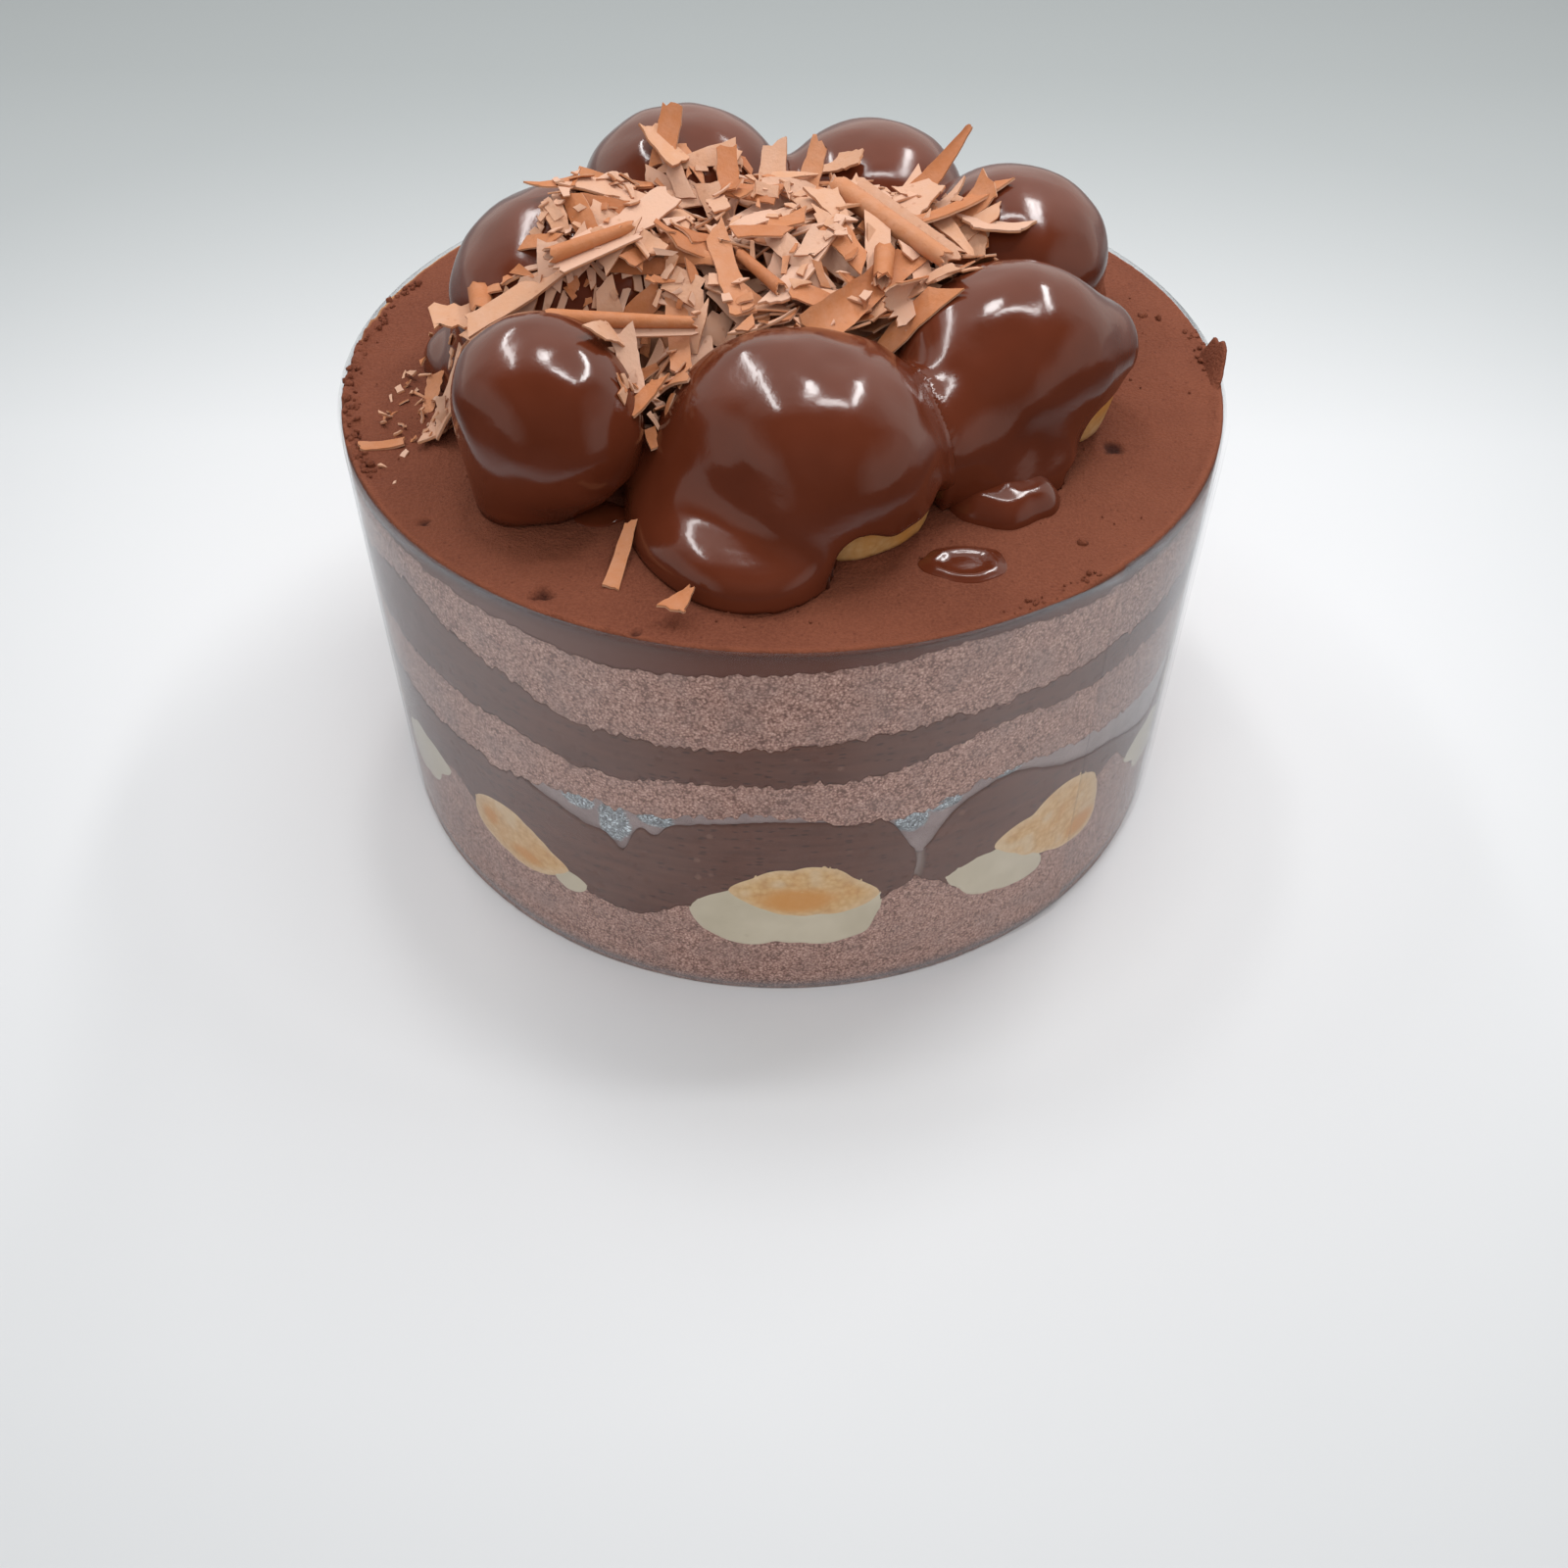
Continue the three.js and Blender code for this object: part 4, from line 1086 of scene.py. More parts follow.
def roundField(points, middle, wide, tallUp, tallDown, power):
    # signed distance, near enough, from a round form whose upright cut is a curve of the given power
    offset = points - np.asarray(middle)
    out = np.hypot(offset[..., 0], offset[..., 1])
    tall = np.where(offset[..., 2] > 0, tallUp, tallDown)
    lift = np.abs(offset[..., 2])
    unit = np.maximum((out / wide) ** power + (lift / tall) ** power, 1e-9) ** (1 / power)
    slope = np.hypot((out / wide) ** (power - 1) / wide, (lift / tall) ** (power - 1) / tall)
    return (unit - 1) / np.maximum(slope / unit ** (power - 1), 1e-6)


def blended(first, second, softness):
    # smooth union of two fields
    share = np.clip(0.5 + 0.5 * (second - first) / softness, 0, 1)
    return second + (first - second) * share - softness * share * (1 - share)


def bunMiddle(bun):
    # the middle of the widest ring
    return np.array([*bun["at"], cake["topLevel"] + bun["equator"] * bun["height"]])


def bunTalls(bun):
    # half heights over and under the widest ring; the lower one leaves the foot its share of the radius
    low = bun["equator"] * bun["height"] / (1 - bun["footShare"] ** bun["square"]) ** (1 / bun["square"])
    return (1 - bun["equator"]) * bun["height"], low


def bunField(points, bun):
    # one bun run together with its feet, bumps and ridge
    softness = bun.get("bumpBlend", glazeSet["bumpBlend"])
    base = np.array([*bun["at"], cake["topLevel"]])
    field = roundField(points, bunMiddle(bun), bun["radius"], *bunTalls(bun), bun["square"])
    for at, out, wide, high, power in bun["feet"]:
        foot = onRing(out, at, 0.0) + base
        field = blended(field, roundField(points, foot, wide, high, high, power), bun["footBlend"])
    for at, out, up, wide in bun["bumps"]:
        ball = onRing(out, at, up) + base
        field = blended(field, roundField(points, ball, wide, wide, wide, 2), softness)
    if "ridge" in bun:
        start, end, wide = bun["ridge"]
        start, end = (onRing(out, at, up) + base for at, out, up in (start, end))
        run = end - start
        share = np.clip((points - start) @ run / (run @ run), 0, 1)[..., None]
        rod = np.linalg.norm(points - start - share * run, axis=-1) - wide
        field = blended(field, rod, softness)
    return field


def isGlazed(points, index):
    # inside a bun run together with its two neighbours, as far as the crease where a neighbour takes over
    own = bunField(points, profiteroles[index])
    field = own
    isOwn = np.ones(own.shape, bool)
    for other in (index - 1, index + 1):
        other = other % len(profiteroles)
        isMerged = tuple(sorted((index, other))) == glazeSet["merged"]
        beside = bunField(points, profiteroles[other])
        field = blended(field, beside, glazeSet["mergedBlend"] if isMerged else glazeSet["joinBlend"])
        isOwn &= own < beside + glazeSet["overlap"]
    return (field < 0) & isOwn


skinSet = {"foot": 176, "head": 1.2, "gap": 4, "footRows": 7}  # degrees from straight up, and rows


def skinDirections(columns, rows, lowest):
    # directions round a bun's middle from straight down to straight up, close together over the lowest angle
    under = np.linspace(skinSet["foot"], lowest + skinSet["gap"], skinSet["footRows"])
    over = np.linspace(lowest, skinSet["head"], rows - skinSet["footRows"])
    polar = np.radians(np.concatenate([under, over]))[:, None]
    azimuth = np.radians(np.linspace(-180, 180, columns, endpoint=False))[None, :]
    return np.stack([np.sin(polar) * np.sin(azimuth), -np.sin(polar) * np.cos(azimuth),
                     np.cos(polar) + 0 * azimuth], -1)


def glazeReach(index, directions):
    # the first way out of the field along each direction: coarse steps, then halving
    bun = profiteroles[index]
    middle = bunMiddle(bun)
    steps = np.linspace(*glazeSet["steps"]) * bun["radius"]
    near = np.full(directions.shape[:-1], steps[0])
    far = np.full(directions.shape[:-1], steps[-1])
    inside = np.ones(directions.shape[:-1], bool)
    for step in steps:
        isIn = isGlazed(middle + directions * step, index)
        near = np.where(inside & isIn, step, near)
        far = np.where(inside & ~isIn, step, far)
        inside &= isIn
    for halving in range(glazeSet["halvings"]):
        reach = (near + far) / 2
        isIn = isGlazed(middle + directions * reach[..., None], index)
        near = np.where(isIn, reach, near)
        far = np.where(isIn, far, reach)
    return near


def chouxReach(bun, directions):
    # the bun's own round form, one coat inside the glaze
    power = bun["square"]
    up, down = bunTalls(bun)
    wide = bun["radius"] - glazeSet["coat"]
    tall = np.where(directions[..., 2] > 0, up - glazeSet["coat"], down)
    out = np.hypot(directions[..., 0], directions[..., 1])
    return ((out / wide) ** power + (np.abs(directions[..., 2]) / tall) ** power) ** (-1 / power)


def keptApart(bun, directions, reach):
    # shortens a reach at the upright plane where two neighbours of that size would meet, less the coat
    for other in profiteroles:
        if other is bun:
            continue
        away = np.array([other["at"][0] - bun["at"][0], other["at"][1] - bun["at"][1], 0.0])
        distance = np.linalg.norm(away)
        toward = directions @ away / distance
        plane = (distance + (bun["radius"] ** 2 - other["radius"] ** 2) / distance) / 2 - glazeSet["coat"]
        reach = np.where(toward * reach > plane, plane / np.maximum(toward, 1e-6), reach)
    return reach


def bunSkin(bun, directions, reach, floor):
    # points at a reach from the bun's middle, flat on the floor
    drop = floor - bunMiddle(bun)[2]
    low = directions[..., 2] * reach < drop
    reach = np.where(low, drop / np.minimum(directions[..., 2], -1e-6), reach)
    return bunMiddle(bun) + directions * reach[..., None]


def glazeRings(index, bun):
    # the coat with its lumps; along the bare arc it ends in a rounded lip, and under that it is out of sight
    directions = skinDirections(*glazeSet["grid"])
    outer = glazeReach(index, directions)
    place = bunMiddle(bun) + directions * outer[..., None]
    strength, scale, seed = glazeSet["lump"]
    lumps = strength * layeredNoise(place, scale, seed, 2)
    strength, scale, seed = glazeSet["ripple"]
    lumps = lumps + strength * softNoise(place, scale, seed)
    outer = outer + lumps * smoothStep(*glazeSet["rippleFrom"], place[..., 2] - cake["topLevel"])
    inner = chouxReach(bun, directions)
    azimuth = np.degrees(np.arctan2(directions[..., 0], -directions[..., 1]))
    at, half, edgeShare, fullFrom = bun["bare"]
    strength, scale, seed = glazeSet["edgeWave"]
    away = np.abs(wrapped(azimuth - at)) / half + strength * layeredNoise(place, scale, seed, 2)
    edge = edgeShare * bun["height"] * smoothStep(glazeSet["bareEnd"], fullFrom, away)
    strength, scale, seed = glazeSet["edgeRise"]
    edge = edge * (1 + strength * softNoise(onRing(bun["radius"], azimuth, 0.0), scale, seed))
    above = directions[..., 2] * outer + bun["equator"] * bun["height"]
    lip = np.clip((above - edge) / glazeSet["lip"], 0, 1)
    coated = inner + (outer - inner) * np.sqrt(lip * (2 - lip))
    reach = np.where(lip > 0, coated, inner - glazeSet["sunk"])
    reach = np.where(edge > glazeSet["bareLeast"], reach, outer)
    return bunSkin(bun, directions, reach, glazeSet["floor"])


def chouxRings(bun):
    # the crust inside the coat, with noise for its lumps
    directions = skinDirections(*chouxSet["grid"])
    crust = chouxReach(bun, directions)
    strength, scale, seed = chouxSet["lump"]
    crust = crust + strength * layeredNoise(bunMiddle(bun) + directions * crust[..., None], scale, seed)
    rings = bunSkin(bun, directions, keptApart(bun, directions, crust), glazeSet["floor"])
    return rings + np.array([*bun.get("shift", (0, 0)), 0])


def chouxMarks(index, rings):
    # brown where the noise is high, pale where it is low
    blot = softNoise(rings, chouxSet["blotScale"], chouxSet["blotSeed"] + index)
    least, more = chouxSet["brown"]
    return {"brown": ringMarks(least + more * smoothStep(*chouxSet["brownFrom"], blot)),
            "pale": ringMarks(chouxSet["pale"] * smoothStep(*chouxSet["paleFrom"], -blot))}


glazePoints = []
for index, bun in enumerate(profiteroles):
    number = index + 1
    rings = glazeRings(index, bun)
    glazePoints.append(rings.reshape(-1, 3))
    makePiece(f"glaze{number}", closedSkin(rings), glaze, [f"glaze_{number}"])
    rings = chouxRings(bun)
    marks = chouxMarks(index, rings)
    makePiece(f"choux{number}", closedSkin(rings), choux, [f"choux_{number}"], marks)
print("profiteroles made")


# Shavings: a lumpy core, then chips, flakes, slabs and rolls dropped one at a time over a map of heights

heapSet = {
    "seed": 12, "cell": 0.6, "reach": 80.0, "over": 3.0, "below": -5.0, "slopeSpan": 4.0,
    "beds": [  # middle x, y, turn, half sizes, level and height of the mounds that carry the shavings
        (1, 0, 0, 34, 29, 8, 12), (-22, -8, 20, 12, 11, 12, 13), (-41, -21, 8, 16, 5.5, 12, 3),
        (-19, -30, 76, 12, 5.5, 6, 7)],
    "envelope": [  # the same for the form that the shavings stay in
        (3, 0, 0, 36, 32, 12, 17), (-24, -8, 20, 16, 14, 18, 13), (-43, -20, 8, 19, 6.5, 12, 8),
        (-20, -31, 76, 15, 7, 5, 13)],
    "zones": [  # middle x, y, turn, half sizes and share of the shavings that fall there
        (3, 0, 0, 33, 28, 0.44), (-27, -9, 0, 14, 14, 0.31), (-43, -20, 8, 17, 6, 0.09),
        (-20, -31, 76, 14, 6.5, 0.11), (-2, 20, 0, 22, 6, 0.05)],
    "firstDrops": [  # piece, kind and count, under the large shavings and then over them
        ("shavingChips", "chips", 420), ("shavingFlakes", "flakes", 500), ("shavingSlabs", "strips", 24),
        ("shavingFlakes", "flakes", 300)],
    "lastDrops": [("shavingFlakes", "flakes", 130), ("shavingChips", "chips", 260)],
    "drawn": {"longPower": 1.4, "widest": 0.8, "bend": (0.9, 6), "cup": (-0.08, 0.08),
              "tapers": [0, 0.15, 0.35, 0.75], "follow": 0.85, "steepest": 1.1, "paleShare": 0.72},
    "torn": {"slant": (-0.4, 0.4), "step": (-0.09, 0.09), "width": (-0.12, 0.08)},
    "tones": {"pale": (0.62, 1.0), "smooth": (0.18, 0.42)},
    "chips": {"long": (1.4, 4.5), "wide": (0.8, 2.4), "thick": (0.25, 0.45), "grid": (3, 3),
              "tilt": 0.35, "sink": 0.3, "dense": (6, 5)},
    "flakes": {"long": (6, 17), "wide": (2.8, 5.8), "thick": (0.3, 0.5), "grid": (7, 4),
               "tilt": 0.28, "sink": 0.14, "dense": (28, 12)},
    "strips": {"long": (12, 20), "wide": (4, 6.5), "thick": (0.4, 0.55), "grid": (11, 6),
               "tilt": 0.2, "sink": 0.2, "dense": (40, 16)},
    "slabs": {"thick": 0.5, "bend": 3.2, "grid": (11, 6), "sink": 0.3, "dense": (40, 16)},
    "rolls": {"count": 12, "long": (6, 15), "radius": (0.8, 1.7), "turns": (0.5, 1.5), "tail": (0, 4),
              "taper": (0, 0.5), "jag": (-0.5, 0.5), "thick": (0.4, 0.35), "sink": (0.25, 0.15),
              "yaw": (0, 6.28), "pitch": (0, 0.3), "roll": (0, 0.5), "tighten": 0.1, "grid": (9, 22),
              "dense": (30, 30)},
    "loose": {"thick": 0.5, "bend": 2.4, "cup": 0.05, "roll": 8, "grid": (9, 5), "sink": 0.15,
              "dense": (30, 12)},
}
slabs = [  # x, y, long, wide, yaw, pitch, roll in degrees, cup, taper, 1 where the pale side is up
    (-39.5, -19, 28, 4.6, 30, -22, 10, 0.02, 0.2, 1), (-25, -9, 19, 7, 50, -6, 8, 0.03, 0.2, 1),
    (-9, -15.6, 18.5, 4.4, 107, -19, 0, 0.03, 0.15, 0), (3.5, -14.4, 20, 5, 60, -14, -8, 0.03, 0.3, 1),
    (12.5, -19.5, 28, 6.5, 52, -4, 40, 0.16, 0.35, 0), (22.5, 12, 13, 9, 55, -10, -10, 0.02, 0.1, 1),
    (28, 18.5, 16, 5, 32, -42, 20, 0.06, 0.75, 0), (30.7, 8.5, 22, 4.4, 38, -3, -14, 0.03, 0.3, 0),
    (37, 5, 10.5, 4.6, -2, 4, -6, 0.02, 0.1, 1), (-21, 25.5, 10.5, 4.6, 72, -50, 0, 0.03, 0.1, 0),
    (-21.5, 23.5, 10, 5.4, 128, -20, 10, 0.03, 0.2, 1), (-10, 18.5, 10, 4.2, 95, -36, 8, 0.04, 0.15, 0),
    (-2, 19, 10, 5, 84, -32, -10, 0.03, 0.15, 1), (5, 18.5, 11, 4.4, 70, -38, 6, 0.05, 0.35, 0),
    (-29, 10, 15, 3.6, -28, -6, 20, 0.06, 0.75, 0), (11, 30, 9, 5.4, -35, -24, 20, 0.03, 0.15, 1),
    (-29, -22, 9, 4.6, 20, 6, 16, 0.03, 0.35, 1), (-17, -25, 15, 3.8, -84, 22, 0, 0.03, 0.1, 0),
    (-24, -37, 10, 4, -70, 42, 0, 0.04, 0.3, 1), (-21.5, -42, 7.5, 3.2, 45, -24, 0, 0.05, 0.35, 0),
    (-57, -17, 15, 3.4, -122, 46, 10, 0.03, 0.3, 1), (-62, -13, 8, 3, -100, 30, 0, 0.04, 0.35, 0),
]
rolls = [  # x, y, long, radius, turns, tail, taper, yaw, pitch, roll in degrees, side of the tail
    (-50, -17, 7, 2.3, 0.95, 9, 0.1, -80, 0, 0, 1), (-26, -27.5, 24, 1.6, 1.15, 3, 0.35, 17, 10, 20, 1),
    (19, -1, 27, 2.3, 0.8, 4.5, 0.3, -50, 4, 34, -1), (16.5, -14, 7, 1.9, 1.6, 2, 0.1, -95, 10, 0, 1),
    (20, -21, 12, 3, 0.4, 3, 0.4, 60, 10, 30, 1), (-31, -16, 15, 1.5, 0.9, 4, 0.3, 32, -6, 0, 1),
]
looseShavings = [  # x, y, long, wide, yaw, pitch, taper
    (-68.5, -27, 7.5, 2.2, 12, 0, 0.2), (-25.2, -58.5, 13, 2.6, 78, -16, 0.25),
    (-15, -71, 5, 4, 52, -12, 0.75),
]
heapRandom = np.random.default_rng(heapSet["seed"])


def heapIndex(x, y):
    # row and column of a place on the height map
    size = int(2 * heapSet["reach"] / heapSet["cell"])
    column = np.clip(((x + heapSet["reach"]) / heapSet["cell"]).astype(int), 0, size - 1)
    row = np.clip(((y + heapSet["reach"]) / heapSet["cell"]).astype(int), 0, size - 1)
    return row, column


def bedHeight(x, y, beds):
    # the highest of the beds over the cake's top: half ellipsoids standing on a level
    height = np.full(np.shape(x), heapSet["below"])
    for atX, atY, turn, long, wide, level, tall in beds:
        turned = math.radians(turn)
        along = (x - atX) * math.cos(turned) + (y - atY) * math.sin(turned)
        across = (y - atY) * math.cos(turned) - (x - atX) * math.sin(turned)
        share = (along / long) ** 2 + (across / wide) ** 2
        bed = level + tall * np.sqrt(np.clip(1 - share, 0, 1))
        height = np.where(share < 1, np.maximum(height, bed), height)
    return height


def startMap():
    # heights of the top, the glaze and the beds over a square grid, and the ceiling that a flake stays under
    size = int(2 * heapSet["reach"] / heapSet["cell"])
    centre = (np.arange(size) + 0.5) * heapSet["cell"] - heapSet["reach"]
    x, y = np.meshgrid(centre, centre)
    heights = np.zeros((size, size))
    for points in glazePoints:
        np.maximum.at(heights, heapIndex(points[:, 0], points[:, 1]), points[:, 2] - cake["topLevel"])
    for shift in (1, -1, 2, -2):
        for axis in (0, 1):
            heights = np.where(heights < 1, np.maximum(heights, np.roll(heights, shift, axis)), heights)
    ceiling = np.maximum(bedHeight(x, y, heapSet["envelope"]), heights + 1) + heapSet["over"]
    return np.maximum(heights, bedHeight(x, y, heapSet["beds"])), ceiling


heapMap, heapCeiling = startMap()
coreSet = {"shares": [(0.03, 0.9, 40), (0.92, 1, 10)], "columns": 160, "lump": 1.2, "lumpScale": 5,
           "seed": 500, "foot": 0.55, "tone": 0.55}


def coreSkin():
    # one lumpy mound over the beds: rings round the middle out to where the bed ends
    share = np.concatenate([np.linspace(*span) for span in coreSet["shares"]])[:, None]
    turned = np.linspace(0, 2 * np.pi, coreSet["columns"], endpoint=False)[None, :]
    atX, atY = heapSet["beds"][0][:2]
    long, wide = heapSet["beds"][0][3:5]
    x = atX + long * share * np.cos(turned)
    y = atY + wide * share * np.sin(turned)
    z = cake["topLevel"] + bedHeight(x, y, heapSet["beds"]) - coreSet["lump"]
    spots = np.stack([x, y, z], -1)
    spots[..., 2] += coreSet["lump"] * layeredNoise(spots, coreSet["lumpScale"], coreSet["seed"])
    foot = spots[-1:] * np.array([coreSet["foot"], coreSet["foot"], 0]) + np.array([0, 0, glazeSet["floor"]])
    return closedSkin(np.concatenate([foot, spots[::-1]]))


core = coreSkin()
coreTone = np.full(len(core[0]), coreSet["tone"])
makePiece("shavingCore", core, shaving, ["shavings"], {"tone": coreTone})


def flakeShape(rows, columns, long, wide, thick, bend, cup, taper, jag):
    # a torn strip: a grid along and across, narrowed to one end, bent along its length and cupped across
    along = np.linspace(-0.5, 0.5, rows)[:, None]
    across = np.linspace(-0.5, 0.5, columns)[None, :]
    width = wide * (1 - taper * (along + 0.5)) * (1 + jag[2][:, None])
    torn = np.where(along == along[0], jag[0], 0) + np.where(along == along[-1], jag[1], 0)
    place = along * long + torn * wide
    angle = place / bend
    arch = bend * (1 - np.cos(angle)) + cup * (2 * across) ** 2 * wide
    top = np.stack([bend * np.sin(angle) + 0 * across, across * width, arch + 0 * place], -1)
    normal = np.stack([-np.sin(angle) + 0 * across, 0 * angle, np.cos(angle) + 0 * across], -1)
    return top, top - normal * thick


def rollShape(rows, columns, long, radius, turns, tail, taper, side, thick, jag):
    # a rolled strip: its cut is a flat tail that winds into a tightening curl, carried along the roll's axis
    along = np.linspace(-0.5, 0.5, rows)[:, None]
    run = np.linspace(-tail, 2 * np.pi * radius * turns, columns)[None, :]
    wound = np.maximum(run, 0) / radius
    size = radius * (1 - taper * (along + 0.5))
    tight = size * (1 - heapSet["rolls"]["tighten"] * wound / (2 * np.pi))
    flat = np.minimum(run, 0) * size / radius
    across = flat + tight * np.sin(wound)
    rise = size - tight * np.cos(wound)
    torn = np.where(np.abs(along) == along[-1], jag, 0)
    place = along * long + torn * radius + 0 * run
    turnedY, turnedZ = np.sin(wound) + 0 * along, -np.cos(wound) + 0 * along
    outer = np.stack([place, side * across, rise], -1)
    normal = np.stack([0 * place, side * turnedY, turnedZ], -1)
    return outer, outer - normal * thick


def turnedBy(yaw, pitch, roll):
    # rotation that rolls about the length, then pitches, then turns about the upright
    turns = [Matrix.Rotation(angle, 3, axis) for angle, axis in ((yaw, "Z"), (pitch, "Y"), (roll, "X"))]
    return np.array(turns[0] @ turns[1] @ turns[2])


def fineGrid(rows, count):
    # weights that spread the rows of a grid over more rows
    place = np.linspace(0, rows - 1, count)
    base = np.clip(place.astype(int), 0, rows - 2)
    share = place - base
    weights = np.zeros((count, rows))
    weights[np.arange(count), base] = 1 - share
    weights[np.arange(count), base + 1] = share
    return weights


def settle(shape, rotation, x, y, sink, count, isCapped=True):
    # turns a flake, drops it on the height map until it rests, and raises the map under it
    middle = np.array([x, y, 0.0])
    top, bottom = (side @ rotation.T + middle for side in shape)
    down, over = fineGrid(top.shape[0], count[0]), fineGrid(top.shape[1], count[1])
    lower = np.minimum(top[..., 2], bottom[..., 2])
    upper = np.maximum(top[..., 2], bottom[..., 2])
    sheet = np.stack([top[..., 0], top[..., 1], lower, upper], -1)
    dense = np.einsum("ar,rck,bc->abk", down, sheet, over).reshape(-1, 4)
    row, column = heapIndex(dense[:, 0], dense[:, 1])
    lift = np.quantile(heapMap[row, column] - dense[:, 2], 1 - sink)
    if isCapped and np.max(dense[:, 3] + lift - heapCeiling[row, column]) > 0:
        return None
    np.maximum.at(heapMap, (row, column), dense[:, 3] + lift)
    lift = np.array([0, 0, lift + cake["topLevel"]])
    return top + lift, bottom + lift


def slopeAt(x, y):
    # how the height map falls round a place, along x and y
    span = heapSet["slopeSpan"]
    offsets = np.array([-span, 0, span])
    offsetX, offsetY = np.meshgrid(offsets, offsets)
    patch = heapMap[heapIndex(x + offsetX, y + offsetY)]
    return (patch[:, 2] - patch[:, 0]).mean() / (2 * span), (patch[2] - patch[0]).mean() / (2 * span)


def dropPlace(random):
    # a place in the heap: a zone picked by its share, then an even spread over that ellipse
    shares = np.array([zone[5] for zone in heapSet["zones"]])
    atX, atY, turn, long, wide = heapSet["zones"][random.choice(len(shares), p=shares)][:5]
    out = math.sqrt(random.random())
    turned = random.random() * 2 * math.pi
    along, across = long * out * math.cos(turned), wide * out * math.sin(turned)
    lean = math.radians(turn)
    return (atX + along * math.cos(lean) - across * math.sin(lean),
            atY + along * math.sin(lean) + across * math.cos(lean))


def ragged(rows, columns):
    # a torn strip's two ends, each cut aslant with small steps, and small steps of its width
    side = np.linspace(-1, 1, columns)
    torn = heapSet["torn"]
    jag = [heapRandom.uniform(*torn["slant"]) * side + heapRandom.uniform(*torn["step"], columns)
           for end in range(2)]
    jag.append(heapRandom.uniform(*torn["width"], rows))
    return jag


def sideTones(isPaleUp):
    # tones of a shaving's upper and lower side
    pale, smooth = (heapRandom.uniform(*heapSet["tones"][side]) for side in ("pale", "smooth"))
    return (pale, smooth) if isPaleUp else (smooth, pale)


laid = {"shavingChips": [], "shavingFlakes": [], "shavingSlabs": [], "shavingRolls": [], "looseShavings": []}


def keep(kind, shape, tones):
    # notes a settled shaving under its kind
    if shape is not None:
        laid[kind].append((*shape, *tones))


def scatter(kind, given, count, place=dropPlace):
    # many flakes of one kind, each drawn at random, laid along the slope and dropped in turn
    drawn = heapSet["drawn"]
    rows, columns = given["grid"]
    limit = drawn["steepest"]
    for order in range(count):
        x, y = place(heapRandom)
        shortest, longest = given["long"]
        long = shortest + (longest - shortest) * heapRandom.random() ** drawn["longPower"]
        wide = min(heapRandom.uniform(*given["wide"]), long * drawn["widest"])
        thick = heapRandom.uniform(*given["thick"])
        bend = heapRandom.uniform(*drawn["bend"]) * long * (1 if heapRandom.random() < 0.5 else -1)
        cup = heapRandom.uniform(*drawn["cup"])
        taper = heapRandom.choice(drawn["tapers"])
        shape = flakeShape(rows, columns, long, wide, thick, bend, cup, taper, ragged(rows, columns))
        yaw = heapRandom.uniform(0, 2 * math.pi)
        fallX, fallY = slopeAt(x, y)
        along = fallX * math.cos(yaw) + fallY * math.sin(yaw)
        across = fallY * math.cos(yaw) - fallX * math.sin(yaw)
        tilt = heapRandom.normal(0, given["tilt"], 2)
        pitch = np.clip(-math.atan(along) * drawn["follow"] + tilt[0], -limit, limit)
        roll = np.clip(math.atan(across) * drawn["follow"] + tilt[1], -limit, limit)
        tones = sideTones(heapRandom.random() < drawn["paleShare"])
        keep(kind, settle(shape, turnedBy(yaw, pitch, roll), x, y, given["sink"], given["dense"]), tones)


def laySlabs():
    # the large shavings, each at its own place and turn
    given = heapSet["slabs"]
    grid = given["grid"]
    for x, y, long, wide, yaw, pitch, roll, cup, taper, isPaleUp in slabs:
        bend = given["bend"] * long
        shape = flakeShape(*grid, long, wide, given["thick"], bend, cup, taper, ragged(*grid))
        turn = turnedBy(*np.radians([yaw, pitch, roll]))
        settled = settle(shape, turn, x, y, given["sink"], given["dense"], False)
        keep("shavingSlabs", settled, sideTones(isPaleUp))


def layRolls():
    # the rolled shavings: those at their own places, then small ones at random
    given = heapSet["rolls"]
    rows, columns = given["grid"]
    for x, y, long, radius, turns, tail, taper, yaw, pitch, roll, side in rolls:
        jag = heapRandom.uniform(*given["jag"], columns)
        shape = rollShape(rows, columns, long, radius, turns, tail, taper, side, given["thick"][0], jag)
        turn = turnedBy(*np.radians([yaw, pitch, roll]))
        settled = settle(shape, turn, x, y, given["sink"][0], given["dense"], False)
        keep("shavingRolls", settled, sideTones(False))
    for order in range(given["count"]):
        x, y = dropPlace(heapRandom)
        radius, long, turns, tail, taper = (heapRandom.uniform(*given[key])
                                            for key in ("radius", "long", "turns", "tail", "taper"))
        jag = heapRandom.uniform(*given["jag"], columns)
        shape = rollShape(rows, columns, long, radius, turns, tail, taper, 1, given["thick"][1], jag)
        yaw = heapRandom.uniform(*given["yaw"])
        pitch = heapRandom.normal(*given["pitch"])
        turn = turnedBy(yaw, pitch, heapRandom.normal(*given["roll"]))
        settled = settle(shape, turn, x, y, given["sink"][1], given["dense"])
        keep("shavingRolls", settled, sideTones(False))


def layLoose():
    # the shavings that lie by themselves on the mousse
    given = heapSet["loose"]
    grid = given["grid"]
    for x, y, long, wide, yaw, pitch, taper in looseShavings:
        bend = given["bend"] * long
        shape = flakeShape(*grid, long, wide, given["thick"], bend, given["cup"], taper, ragged(*grid))
        turn = turnedBy(*np.radians([yaw, pitch, given["roll"]]))
        settled = settle(shape, turn, x, y, given["sink"], given["dense"], False)
        keep("looseShavings", settled, sideTones(False))


besideSet = {**heapSet["chips"], "long": (0.6, 2.6), "wide": (0.4, 1.4), "x": (-70, -58), "y": (-14, 7),
             "count": 46}


def besidePlace(random):
    # a place for a crumb of chocolate on the mousse left of the buns
    return random.uniform(*besideSet["x"]), random.normal(*besideSet["y"])


